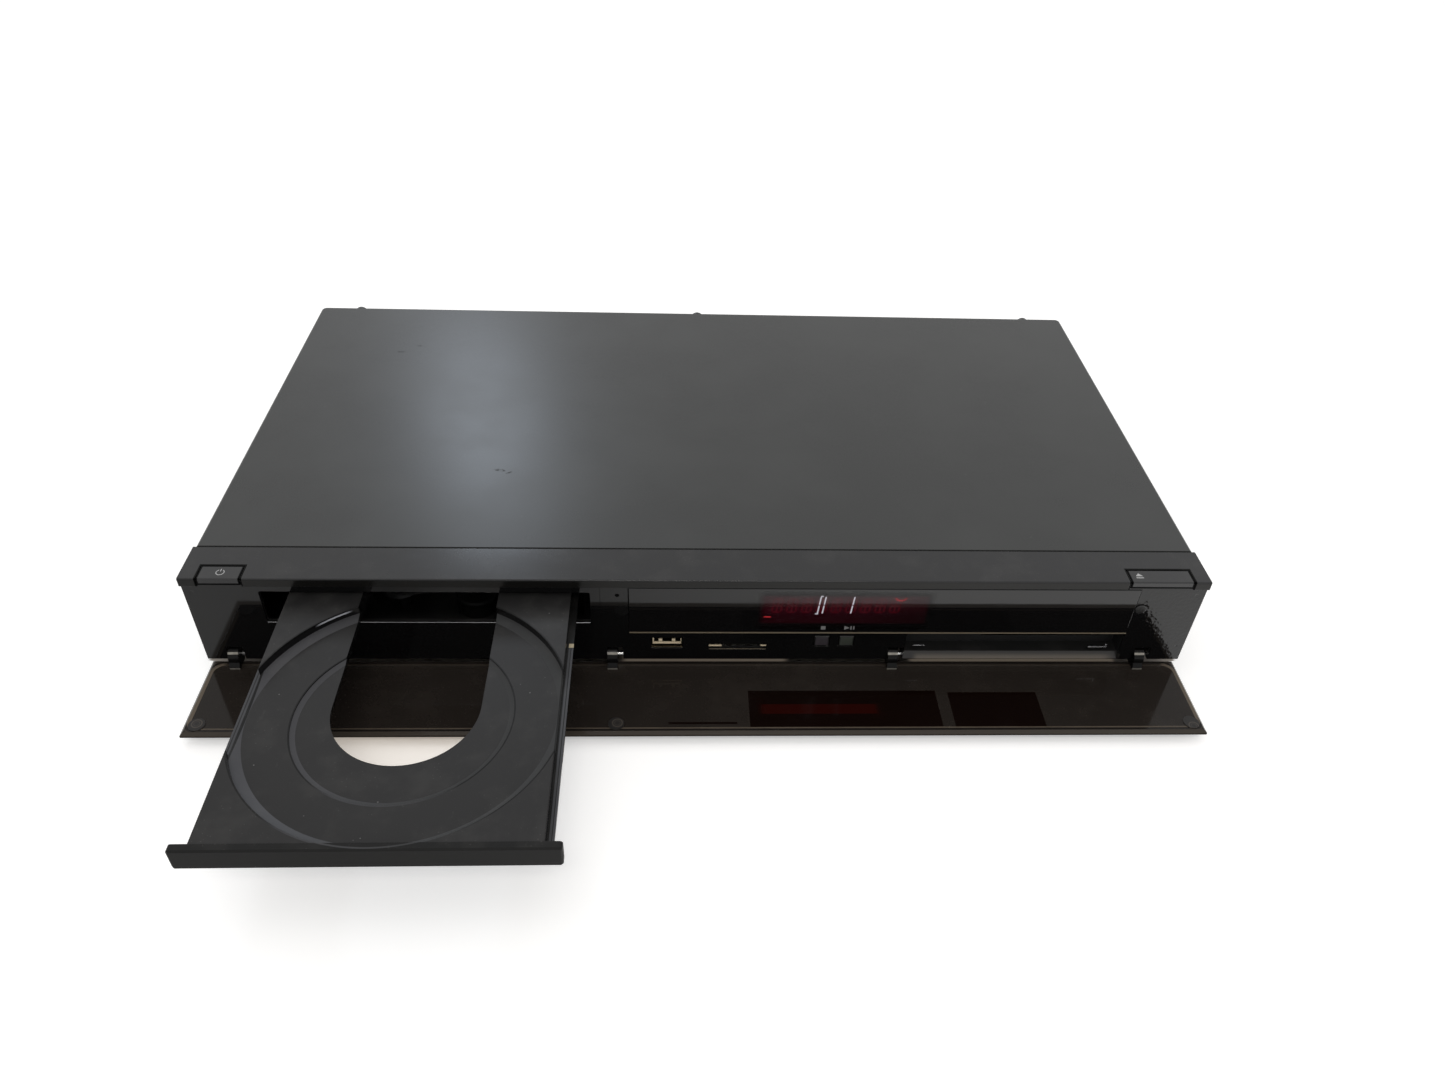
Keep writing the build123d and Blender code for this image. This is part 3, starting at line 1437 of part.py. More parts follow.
def aerial_places():
    return [(aerial_x - aerial_pitch / 2, aerial_z), (aerial_x + aerial_pitch / 2, aerial_z)]


def aerial_sockets():
    """Tuner can with two barrels through the rear panel."""
    can = block(aerial_x - aerial_half, aerial_x + aerial_half, rear_inner - 12,
                rear_inner - part_gap, board_top, board_top + aerial_can_height)
    end = rear_face + aerial_reach
    for x, z in aerial_places():
        can += bar_y(x, z, rear_inner - 1, end, aerial_radius)
        can -= bar_y(x, z, rear_face - 1, end + 1, aerial_radius - 1.2)
    return can


def hdmi_socket():
    """Flared shell with a contact tongue inside."""
    half, tall = hdmi_width / 2, hdmi_height / 2
    z = socket_z
    outline = polygon((-half, tall), (half, tall), (half, -tall + 2), (half - 1.6, -tall),
                      (1.6 - half, -tall), (-half, -tall + 2))
    y0, y1 = rear_inner - 10, rear_face + 0.3
    outer = Pos(hdmi_x, 0, z) * run_y(outline, y0, y1)
    inner = Pos(hdmi_x, 0, z) * run_y(offset(outline, -0.5), y0 + 1, y1 + 1)
    tongue = block(hdmi_x - half + 1.8, hdmi_x + half - 1.8, y0 + 0.5, y1 - 1.2, z - 0.4, z + 0.5)
    legs = [block(x - 0.6, x + 0.6, y0 + 2, y0 + 4, board_top, z - tall + 0.3)
            for x in (hdmi_x - half + 3, hdmi_x + half - 3)]
    return outer - inner + tongue + legs


def network_socket():
    half = network_width / 2
    z0 = board_top
    y1 = rear_face + 0.3
    body = block(network_x - half, network_x + half, rear_inner - 14, y1, z0, z0 + network_height)
    body -= block(network_x - 6, network_x + 6, rear_inner - 10, y1 + 1, z0 + 3, z0 + 10.4)
    return body - block(network_x - 3, network_x + 3, rear_inner - 8, y1 + 1, z0 + 1.4, z0 + 3.1)


def optical_socket():
    half = optical_size / 2
    mouth = half - 1.2
    y1 = rear_face + 0.8
    body = block(optical_x - half, optical_x + half, rear_inner - 9, y1, board_top,
                 board_top + optical_height)
    body -= block(optical_x - mouth, optical_x + mouth, y1 - 1.2, y1 + 1, socket_z - mouth,
                  socket_z + mouth)
    shutter = mouth - 0.3
    return body + block(optical_x - shutter, optical_x + shutter, y1 - 1.3, y1 - 0.9,
                        socket_z - shutter, socket_z + shutter)


def phono_places():
    return [(phono_x, socket_z + 0.5 + row * phono_pitch) for row in range(2)]


def phono_sockets():
    """Moulded block with two phono barrels, one above the other."""
    body = block(phono_x - phono_half, phono_x + phono_half, rear_inner - 8,
                 rear_inner - part_gap, board_top, socket_z + 1.5 * phono_pitch + 1)
    end = rear_face + phono_reach
    for x, z in phono_places():
        body += bar_y(x, z, rear_inner - 1, end, phono_radius)
        body -= bar_y(x, z, rear_face - 2, end + 1, phono_radius - 1.9)
    return body


def power_inlet():
    """Two-pin mains inlet in a figure-of-eight recess."""
    half, tall = inlet_width / 2, inlet_height / 2
    core, core_tall = inlet_core / 2, inlet_height / 2 - 2
    y1 = rear_face + inlet_reach
    body = block(inlet_x - half, inlet_x + half, rear_face + part_gap, y1, inlet_z - tall,
                 inlet_z + tall)
    body = chamfer(body.edges().filter_by(Axis.Y), 1.6)
    body += block(inlet_x - core, inlet_x + core, rear_inner - 9, rear_face + 1,
                  inlet_z - core_tall, inlet_z + core_tall)
    body += block(inlet_x - 8, inlet_x + 8, rear_inner - 9, rear_inner - 3, board_top,
                  inlet_z - core_tall + 0.1)
    pitch, lobe = 3.3, 4.1
    eight = Pos(-pitch, 0) * Circle(lobe) + Pos(pitch, 0) * Circle(lobe)
    eight += Rectangle(2 * pitch, 1.6 * lobe)
    body -= Pos(inlet_x, 0, inlet_z) * run_y(eight, rear_inner - 7, y1 + 1)
    return body + [bar_y(inlet_x + x, inlet_z, rear_inner - 7.1, y1 - 1.5, 1.2)
                   for x in (-pitch, pitch)]


def rear_panel():
    """Sheet with a cut-out for each socket and a slotted grille at the fan."""
    gap = part_gap
    y0, y1 = rear_inner, rear_face
    sheet = block(-pan_half, pan_half, y0, y1, foot_height, body_height - cover_sheet - gap)

    def hole(x, z, radius):
        return bar_y(x, z, y0 - 1, y1 + 1, radius)

    def gap_round(x, half, z0, z1):
        return block(x - half - gap, x + half + gap, y0 - 1, y1 + 1, z0 - gap, z1 + gap)

    cuts = [hole(x, z, aerial_radius + gap) for x, z in aerial_places()]
    cuts += [hole(x, z, phono_radius + gap) for x, z in phono_places()]
    cuts += [hole(x, z, screw_radius + running_gap) for x, z in rear_screw_places()]
    tall = hdmi_height / 2
    cuts.append(gap_round(hdmi_x, hdmi_width / 2, socket_z - tall, socket_z + tall))
    cuts.append(gap_round(network_x, network_width / 2, board_top, board_top + network_height))
    cuts.append(gap_round(optical_x, optical_size / 2, board_top, board_top + optical_height))
    tall = inlet_height / 2 - 2
    cuts.append(gap_round(inlet_x, inlet_core / 2, inlet_z - tall, inlet_z + tall))
    radius = fan_size / 2 - 2
    pitch = 2 * radius / grille_slots
    for slot in range(grille_slots):
        z0 = fan_z - radius + slot * pitch + grille_bar / 2
        z1 = z0 + pitch - grille_bar
        reach = sqrt(radius**2 - max(abs(z0 - fan_z), abs(z1 - fan_z)) ** 2)
        cuts.append(block(fan_x - reach, fan_x + reach, y0 - 1, y1 + 1, z0, z1))
    return sheet - cuts


# Every piece, written to its own file

save("top_cover", top_cover())
save("bottom_chassis", bottom_chassis())
save("rear_panel", rear_panel())
save("feet", *feet())
save("foot_pads", *foot_pads())
save("cover_screws", *cover_screws())
save("front_panel", front_panel())
save("display_window", display_window())
save("display_tube", display_tube())
save("display_board", display_board())
save("port_board", port_board())
save("key_switches", *key_switches())
save("usb_shell", usb_shell())
save("usb_tongue", usb_tongue())
save("card_socket", card_socket())
save("module_cage", module_cage())
save("power_button", top_button(power_button_left, power_button_right))
save("open_button", top_button(open_button_left, open_button_right))
save("stop_key", front_key(stop_key_x))
save("play_key", front_key(play_key_x))
save("door_panel", door_panel())
save("door_ears", *door_ears())
save("door_pads", *door_pads())
save("hinge_rod", hinge_rod())
save("tray", tray())
save("drive_frame", drive_frame())
save("clamp_bridge", clamp_bridge())
save("clamp_puck", clamp_puck())
save("loading_wheel", loading_wheel())
save("idler_pulley", idler_pulley())
save("motor_pulley", motor_pulley())
save("loading_motor", loading_motor())
save("drive_belt", drive_belt())
save("carrier_frame", carrier_frame())
save("cam_slider", cam_slider())
save("spindle_motor", spindle_motor())
save("turntable", turntable())
save("guide_rods", *guide_rods())
save("pickup_sled", pickup_sled())
save("pickup_lens", pickup_lens())
save("sled_motor", sled_motor())
save("lead_screw", lead_screw())
save("disk_bracket", disk_bracket())
save("hard_disk", hard_disk())
save("main_board", main_board())
save("heat_sink", heat_sink())
save("power_board", power_board())
save("transformer", transformer())
save("capacitors", *capacitors())
save("fan_frame", fan_frame())
save("fan_rotor", fan_rotor())
save("aerial_sockets", aerial_sockets())
save("hdmi_socket", hdmi_socket())
save("network_socket", network_socket())
save("optical_socket", optical_socket())
save("phono_sockets", phono_sockets())
save("power_inlet", power_inlet())
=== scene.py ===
import functools
import math

import bmesh
import bpy
from mathutils import Matrix, Vector


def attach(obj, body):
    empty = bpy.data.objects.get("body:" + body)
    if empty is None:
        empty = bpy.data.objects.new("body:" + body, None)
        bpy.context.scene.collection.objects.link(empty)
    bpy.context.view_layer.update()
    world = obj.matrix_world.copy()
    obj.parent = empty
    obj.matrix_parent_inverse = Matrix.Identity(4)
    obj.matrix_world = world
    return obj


# Looks for a disc recorder with its tray out and its front door folded down.
# Places on the front are written in millimetres: X to the right, Y back from the front edge
# of the body, Z up from the floor. FRONT moves them to the frame of the CAD.

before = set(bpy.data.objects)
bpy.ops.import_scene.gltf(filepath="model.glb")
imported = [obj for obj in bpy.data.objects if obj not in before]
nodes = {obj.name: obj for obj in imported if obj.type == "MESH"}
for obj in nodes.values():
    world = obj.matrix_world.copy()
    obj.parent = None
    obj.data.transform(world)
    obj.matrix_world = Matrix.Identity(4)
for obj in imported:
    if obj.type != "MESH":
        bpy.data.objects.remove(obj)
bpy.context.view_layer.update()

MM = 0.001
FRONT = -57.9
# The grey strip along the top of the front, and how far back the faces below it lie
STRIP_TOP, STRIP_LOW = 58.6, 54.5
FASCIA, WINDOW_FACE, DISPLAY = 1.4, 1.1, 4.2
# Left and right ends of the two keys in the strip, and their rear edge
POWER_BUTTON, OPEN_BUTTON = (-207.4, -190.2), (180.3, 207.5)
BUTTON_BACK = 8.1
# Middles of the two keys under the window
STOP_KEY, PLAY_KEY, KEY_HEIGHT = 51.45, 62.35, 22.5
# The tray's middle, its rails, and the middle and radii of its two recesses
TRAY_X, DISC_Y = -114.6, -60.8
DISC_RADIUS, SMALL_DISC_RADIUS = 61.2, 40.8
RAIL_IN, RAIL_OUT, RAIL_LOW, RAIL_HIGH = 58.7, 60.9, 43.9, 44.4
DOOR_TOP = 7.6
BLACK = (0.001, 0.001, 0.001)


def even(level):
    """An even grey, or any triple of one number."""
    return (level, level, level)


def place(x, y, z):
    """A point on the recorder, from millimetres to the frame of the CAD."""
    return Vector((x * MM, (y + FRONT) * MM, z * MM))


# Node maths for the finishes


class Field:
    """A number that varies over a surface. Python's operators add Math nodes."""

    def __init__(self, look, socket):
        self.look = look
        self.socket = socket

    def math(self, operation, *others):
        return self.look.node("ShaderNodeMath", {"operation": operation}, self, *others)

    def __add__(self, other):
        return self.math("ADD", other)

    def __mul__(self, other):
        return self.math("MULTIPLY", other)

    def __sub__(self, other):
        return self.math("SUBTRACT", other)

    def __rsub__(self, other):
        return self.look.node("ShaderNodeMath", {"operation": "SUBTRACT"}, other, self)

    def __truediv__(self, other):
        return self.math("DIVIDE", other)

    def __pow__(self, other):
        return self.math("POWER", other)

    def __abs__(self):
        return self.math("ABSOLUTE")

    def wave(self):
        return self.math("SINE")

    def largest(self, other):
        return self.math("MAXIMUM", other)

    def ramp(self, low, high):
        """0 below low, 1 above high, smooth between; the other way round if low is larger."""
        settings = {"interpolation_type": "SMOOTHSTEP"}
        if low > high:
            return 1 - self.look.node("ShaderNodeMapRange", settings, self, high, low)
        return self.look.node("ShaderNodeMapRange", settings, self, low, high)

    def within(self, low, high, soft):
        """1 between low and high, 0 outside, with edges as wide as soft."""
        return self.ramp(low - soft, low) * self.ramp(high + soft, high)


class Finish:
    """One material: a Principled shader and the nodes that vary it over the surface."""

    def __init__(self, name, color, roughness, **constants):
        self.material = bpy.data.materials.new(name)
        self.material.use_nodes = True
        self.tree = self.material.node_tree
        self.shader = self.tree.nodes["Principled BSDF"]
        self.shader.inputs["Base Color"].default_value = (*color, 1)
        self.shader.inputs["Roughness"].default_value = roughness
        for socket, value in constants.items():
            self.shader.inputs[socket.replace("_", " ")].default_value = value
        coordinates = self.tree.nodes.new("ShaderNodeTexCoord")
        metres = Field(self, coordinates.outputs["Object"])
        # The place in millimetres, counted as place() counts them
        self.mm = self.node("ShaderNodeVectorMath", {"operation": "MULTIPLY_ADD"}, metres,
                            even(1 / MM), (0, -FRONT, 0))
        split = self.node("ShaderNodeSeparateXYZ", {}, self.mm).socket.node
        self.x, self.y, self.z = (Field(self, socket) for socket in split.outputs)
        shape = self.tree.nodes.new("ShaderNodeNewGeometry")
        normal = Field(self, shape.outputs["Normal"])
        turned = self.node("ShaderNodeSeparateXYZ", {}, normal).socket.node
        self.sideways, _, self.up = (Field(self, socket) for socket in turned.outputs)

    def node(self, kind, settings, *inputs, output=0, **named):
        """Adds a node, sets it, gives its inputs values or links, and returns an output."""
        made = self.tree.nodes.new(kind)
        for key, value in settings.items():
            setattr(made, key, value)
        pairs = list(zip([s for s in made.inputs if s.enabled], inputs))
        pairs += [(made.inputs[key.replace("_", " ")], value) for key, value in named.items()]
        for socket, value in pairs:
            if isinstance(value, Field):
                self.tree.links.new(value.socket, socket)
            elif value is not None:
                socket.default_value = value
        outputs = [s for s in made.outputs if s.enabled]
        return Field(self, outputs[output])

    def set(self, socket, value):
        """Links a field to one of the shader's sockets."""
        self.tree.links.new(value.socket, self.shader.inputs[socket])

    def noise(self, size, detail=2.0, rough=0.5, stretch=(1, 1, 1)):
        """Soft noise from 0 to 1 with features of about size millimetres."""
        at = self.mm
        if stretch != (1, 1, 1):
            at = self.node("ShaderNodeVectorMath", {"operation": "MULTIPLY"}, at, stretch)
        return self.node("ShaderNodeTexNoise", {}, Vector=at, Scale=1 / size, Detail=detail,
                         Roughness=rough)

    def cells(self, size, randomness=1.0, **settings):
        """Distance to the nearest of points scattered size millimetres apart."""
        return self.node("ShaderNodeTexVoronoi", settings, Vector=self.mm, Scale=1 / size,
                         Randomness=randomness)

    def mix(self, mask, first, second):
        """A colour that goes from first to second as mask goes from 0 to 1."""
        colors = [color if isinstance(color, Field) else (*color, 1)
                  for color in (first, second)]
        return self.node("ShaderNodeMix", {"data_type": "RGBA"}, mask, *colors)

    def spot(self, x, y, width, height, turn=0.0):
        """Distance from a point on a face seen from above, 1 at the rim of an ellipse."""
        c, s = math.cos(turn), math.sin(turn)
        dx, dy = self.x - x, self.y - y
        along = (dx * c + dy * s) / width
        across = (dy * c - dx * s) / height
        return (along * along + across * across) ** 0.5

    def bump(self, height, depth, edge=0.0):
        """Raises the surface by height times depth millimetres, over edges rounded by edge."""
        rounded = None
        if edge:
            rounded = self.node("ShaderNodeBevel", {"samples": 4}, Radius=edge * MM)
        normal = self.node("ShaderNodeBump", {}, Strength=1.0, Distance=depth * MM,
                           Height=height, Normal=rounded)
        self.set("Normal", normal)

    def made(self, color, roughness, height, depth, edge=0.0):
        """Sets the colour, the roughness and the relief, and returns the material."""
        self.set("Base Color", color)
        self.set("Roughness", roughness)
        self.bump(height, depth, edge)
        return self.material

    def spot_on_front(self, x, z, radius):
        """Distance from a point on an upright face, 1 at the radius."""
        dx, dz = self.x - x, self.z - z
        return (dx * dx + dz * dz) ** 0.5 / radius


def any_of(masks):
    """One mask out of several: the largest of them at each place."""
    return functools.reduce(Field.largest, masks)


def tone(color, factor):
    """The colour made darker or lighter by a factor."""
    return tuple(min(1.0, part * factor) for part in color)


def wear(look, roughness, spread, size=30.0):
    """Uneven handling marks: roughness that drifts slowly over the surface."""
    drift = look.noise(size, 3.0, 0.6)
    fine = look.noise(size / 12, 2.0, 0.5)
    uneven = (drift - 0.5) * (spread * 2) + (fine - 0.5) * spread
    look.set("Roughness", uneven + roughness)


def dusty(look, color, amount, dust=(0.32, 0.31, 0.29)):
    """Fine dust on faces that look up, thicker in patches, over the given colour."""
    up = look.up.ramp(0.6, 1.0)
    patch = look.noise(14, 3.0, 0.6).ramp(0.45, 0.75)
    specks = look.cells(1.7).ramp(0.16, 0.05)
    mask = up * ((patch * 0.5 + 0.1) * (specks * 0.8 + 0.2)) * amount
    return look.mix(mask, color, dust)


# Finishes


def moulded(name, color, roughness, grain=0.35, depth=0.02, dust=0.25, edge=0.0, **constants):
    """Moulded plastic with a fine grain, drifting colour and light dust."""
    look = Finish(name, color, roughness, **constants)
    drift = look.noise(18, 3.0, 0.55).ramp(0.3, 0.7)
    varied = look.mix(drift, tone(color, 0.86), tone(color, 1.16))
    look.set("Base Color", dusty(look, varied, dust))
    wear(look, roughness, 0.05)
    relief = look.noise(grain, 2.0, 0.6) + look.noise(grain * 6, 1.0, 0.5) * 0.5
    look.bump(relief, depth, edge=edge)
    return look.material


def sheet_steel(name, color, roughness, spangle=2.2):
    """Zinc-plated sheet with a faint crystal pattern and rolling marks."""
    look = Finish(name, color, roughness, Metallic=1.0)
    crystal = look.node("ShaderNodeTexVoronoi", {}, Vector=look.mm, Scale=1 / spangle,
                        output=1)
    grey = look.node("ShaderNodeSeparateColor", {}, crystal)
    rolled = look.noise(0.6, 2.0, 0.6, stretch=(0.04, 1, 1))
    level = grey * 0.22 + rolled * 0.18
    return look.made(
        look.mix(level, tone(color, 0.82), tone(color, 1.18)),
        level * 0.22 + (roughness - 0.06),
        rolled + look.noise(7, 2.0) * 0.6, 0.015)


def turned_metal(name, color, roughness, pitch=0.25):
    """Plated or ground metal with fine lines and slight tarnish."""
    look = Finish(name, color, roughness, Metallic=1.0)
    lines = look.noise(pitch, 2.0, 0.7, stretch=(0.2, 1, 1))
    tarnish = look.noise(9, 3.0, 0.6).ramp(0.4, 0.8)
    return look.made(
        look.mix(tarnish, color, tone(color, 0.7)),
        lines * 0.1 + tarnish * 0.1 + (roughness - 0.05),
        lines, 0.008)


def circuit_board(name, color, mask_gloss=0.35):
    """Board with traces, pads and bare copper holes under a glossy lacquer."""
    look = Finish(name, color, mask_gloss, Coat_Weight=0.25, Coat_Roughness=0.2)
    x, y, z = look.x, look.y, look.z
    lane = look.cells(9.0, 0.85, feature="DISTANCE_TO_EDGE")
    lines = ((x + z) * 3.1).wave() * ((y + z * 0.5) * 3.1).wave()
    traces = lines.ramp(0.25, 0.35) * lane.ramp(0.08, 0.12)
    pads = look.cells(3.4, 0.35).ramp(0.2, 0.16)
    green = look.mix(traces, color, tone(color, 1.9))
    look.set("Metallic", pads * 0.7)
    return look.made(
        look.mix(pads * 0.8, green, (0.62, 0.60, 0.55)),
        look.noise(4, 2.0) * 0.1 + (mask_gloss - 0.05),
        traces * 0.6 + pads, 0.03)


def cover_paint():
    """Satin baked paint: fine texture, smudges, dust and the four scuffs of the photograph."""
    color = (0.0435, 0.0445, 0.0438)
    look = Finish("cover_paint", color, 0.28, Specular_IOR_Level=0.23)
    smudge = look.noise(55, 3.0, 0.55).ramp(0.35, 0.75)
    base = look.mix(smudge, tone(color, 0.94), tone(color, 1.08))
    specks = look.cells(9.0).ramp(0.035, 0.018) * look.noise(40, 2.0).ramp(0.45, 0.65)
    base = look.mix(specks * 0.5, base, (0.30, 0.30, 0.29))
    top = look.up.ramp(0.8, 0.95)
    # X, Y, half width, half height and turn of each scuff
    scuffs = any_of([look.spot(*scuff).ramp(1.0, 0.2) for scuff in (
        (-151, 191, 3.4, 1.2, 0.3), (-160.5, 184, 3.6, 1.2, 0.1),
        (-94.5, 76.5, 3.6, 1.2, -0.2), (-90, 74.5, 2.0, 0.7, 0.6))])
    chips = scuffs * look.noise(0.9, 3.0, 0.7).ramp(0.47, 0.55) * top
    grain = look.noise(0.45, 2.0, 0.6)
    return look.made(
        look.mix(chips * 0.8, base, even(0.008)),
        smudge * 0.03 + grain * 0.03 + chips * 0.3 + 0.255,
        grain + chips * -2.0, 0.004)


def beyond_key(look, key):
    """How far beyond the side and rear edges of a key in the strip, negative inside it."""
    low, high = key
    across = abs(look.x - (low + high) / 2) - (high - low) / 2
    return across.largest(look.y - BUTTON_BACK)


def front_gloss():
    """The panel's top strip in glossy dark grey and everything below it in piano black."""
    look = Finish("front_gloss", even(0.006), 0.08, Specular_IOR_Level=0.36)
    x, y, z = look.x, look.y, look.z
    # Masks: the strip and its front edge, the openings' walls, the floor of the module's recess
    strip = z.ramp(STRIP_LOW - 0.05, STRIP_LOW + 0.05) * y.ramp(21.5, 21.0)
    facet = z.within(STRIP_LOW + 0.2, STRIP_TOP - 0.6, 0.1) * y.ramp(1.6, 1.2)
    inside = y.ramp(FASCIA + 0.4, FASCIA + 0.8) * z.ramp(STRIP_LOW + 0.3, STRIP_LOW)
    sill = x.within(87.0, 187.5, 0.3) * z.within(11.0, 14.6, 0.2) * y.within(1.3, 3.8, 0.1)
    flow = look.noise(26, 2.0, 0.5)
    grey = look.mix(flow, (0.0105, 0.0105, 0.0115), (0.0135, 0.0135, 0.0145))
    # The strip's front edge is painted darker and warmer: a painted reflection of the door
    # before it
    grey = look.mix(facet * 0.7, grey, (0.0085, 0.0080, 0.0064))
    black = look.mix(flow, (0.0022, 0.0022, 0.0024), (0.0034, 0.0034, 0.0036))
    plain = look.mix(look.noise(5, 2.0), even(0.006), even(0.010))
    color = look.mix(strip, look.mix(inside, black, plain), grey)
    # Painted light on the recess's floor: paler towards its front, fading into painted shade at
    # its two ends
    lit = (1 - y.ramp(1.5, 3.4)) * 0.55 + z.ramp(13.8, 11.6) * 0.45
    lit = lit * x.ramp(92.5, 96.0) * x.ramp(187.0, 179.0)
    warm = look.mix(lit, (0.008, 0.007, 0.006), (0.092, 0.078, 0.062))
    color = look.mix(sill * (1 - strip), color, warm)
    # Small round hollows in the cheeks, seams, a groove along the strip and the keys' gaps; the
    # black in the hollows, in the groove and round the keys is painted shade
    cheek = 211.6
    dots = any_of([look.spot_on_front(cheek, 19.4, 0.7).ramp(1.0, 0.7),
                   look.spot_on_front(-cheek, 49.9, 1.1).ramp(1.0, 0.75),
                   look.spot_on_front(cheek, 49.9, 1.1).ramp(1.0, 0.75)])
    seams = (x.within(34.9, 35.1, 0.08) * z.ramp(27.2, 27.0)).largest(
        x.within(-44.8, -44.6, 0.08) * z.ramp(54.2, 54.0))
    marks = dots.largest(seams * 0.8) * y.within(FASCIA - 0.1, FASCIA + 0.1, 0.05)
    groove = z.within(57.9, 58.35, 0.08) * y.ramp(1.8, 1.4)
    gaps = any_of([beyond_key(look, key).within(-0.4, 0.9, 0.15) * z.ramp(53.8, 54.4)
                   for key in (POWER_BUTTON, OPEN_BUTTON)])
    marks = any_of([marks, groove, gaps])
    # A black metal mirrors less than black plastic, as a deep gap does
    look.set("Metallic", (facet * 0.45).largest(gaps))
    smear = look.noise(20, 3.0, 0.6, stretch=(0.5, 1, 1)).ramp(0.4, 0.8)
    gloss = smear * 0.04 + strip * 0.12 + sill * 0.3 + 0.04
    swell = look.noise(9, 1.0, 0.4)
    pebbles = look.noise(1.6, 1.0, 0.4) * x.ramp(188.0, 191.0) * z.ramp(54.0, 53.0)
    grain = look.noise(0.5, 2.0, 0.6)
    return look.made(
        dusty(look, look.mix(marks, color, BLACK), 0.25),
        inside * (1 - sill) * (0.45 - gloss) + gloss,
        swell * 0.5 + grain * inside * 1.5 + pebbles * 10.0 - marks * 6.0, 0.008, edge=0.25)


def top_button(name, key):
    """Glossy dark grey key, painted black along its edges and low on its front as shade from
    its gap.
    """
    look = Finish(name, (0.0135, 0.0135, 0.0145), 0.16, Specular_IOR_Level=0.45)
    # Painted shade: black along the key's edges and low on its front
    edge = beyond_key(look, key).ramp(-0.75, -0.5).largest(look.z.ramp(56.4, 56.0))
    drift = look.noise(12, 3.0, 0.55).ramp(0.3, 0.7)
    grey = look.mix(drift, (0.0115, 0.0115, 0.0125), (0.0150, 0.0150, 0.0160))
    grey = dusty(look, grey, 0.3)
    look.set("Metallic", edge)
    return look.made(
        look.mix(edge * 0.95, grey, BLACK),
        drift * 0.05 + edge * 0.4 + 0.14,
        look.noise(1.2, 2.0, 0.6) - edge * 4.0, 0.006, edge=0.25)


def front_key(name, color, middle):
    """Small satin key, with painted shade towards the edges that sit in its opening."""
    look = Finish(name, color, 0.35, Specular_IOR_Level=0.35)
    half_wide, half_tall = 2.9, 2.45
    # Painted shade: black towards the edges in the opening
    edge = (abs(look.x - middle) - half_wide).largest(abs(look.z - KEY_HEIGHT) - half_tall)
    edge = edge.ramp(-0.3, 0.1)
    drift = look.noise(2.5, 3.0, 0.6)
    face = look.mix(drift, tone(color, 0.8), tone(color, 1.25))
    return look.made(
        look.mix(edge, face, BLACK),
        drift * 0.12 + 0.3,
        look.noise(0.3, 2.0, 0.6) - edge * 3.0, 0.02)


def hook_gloss():
    """Black moulded hooks, with painted highlights along the shoulder and the foot."""
    look = Finish("hook_gloss", even(0.004), 0.2, Specular_IOR_Level=0.12)
    x, y, z = look.x, look.y, look.z
    highlight_unevenness = look.noise(1.6, 3.0, 0.6) * 0.8 + 0.4
    # Painted highlights along the shoulder and the foot, uneven along their length
    bright = y.within(0.45, 1.0, 0.15) * z.ramp(14.3, 14.9)
    bright = bright.largest(y.ramp(-1.3, -1.6) * z.within(7.7, 8.5, 0.15) * 0.55)
    drift = look.noise(4.0, 2.0)
    body = look.mix(drift, even(0.0022), (0.0050, 0.0048, 0.0045))
    return look.made(
        look.mix(bright * highlight_unevenness, body, (0.36, 0.34, 0.30)),
        drift * 0.1 + 0.16,
        drift + highlight_unevenness * bright, 0.01, edge=0.3)


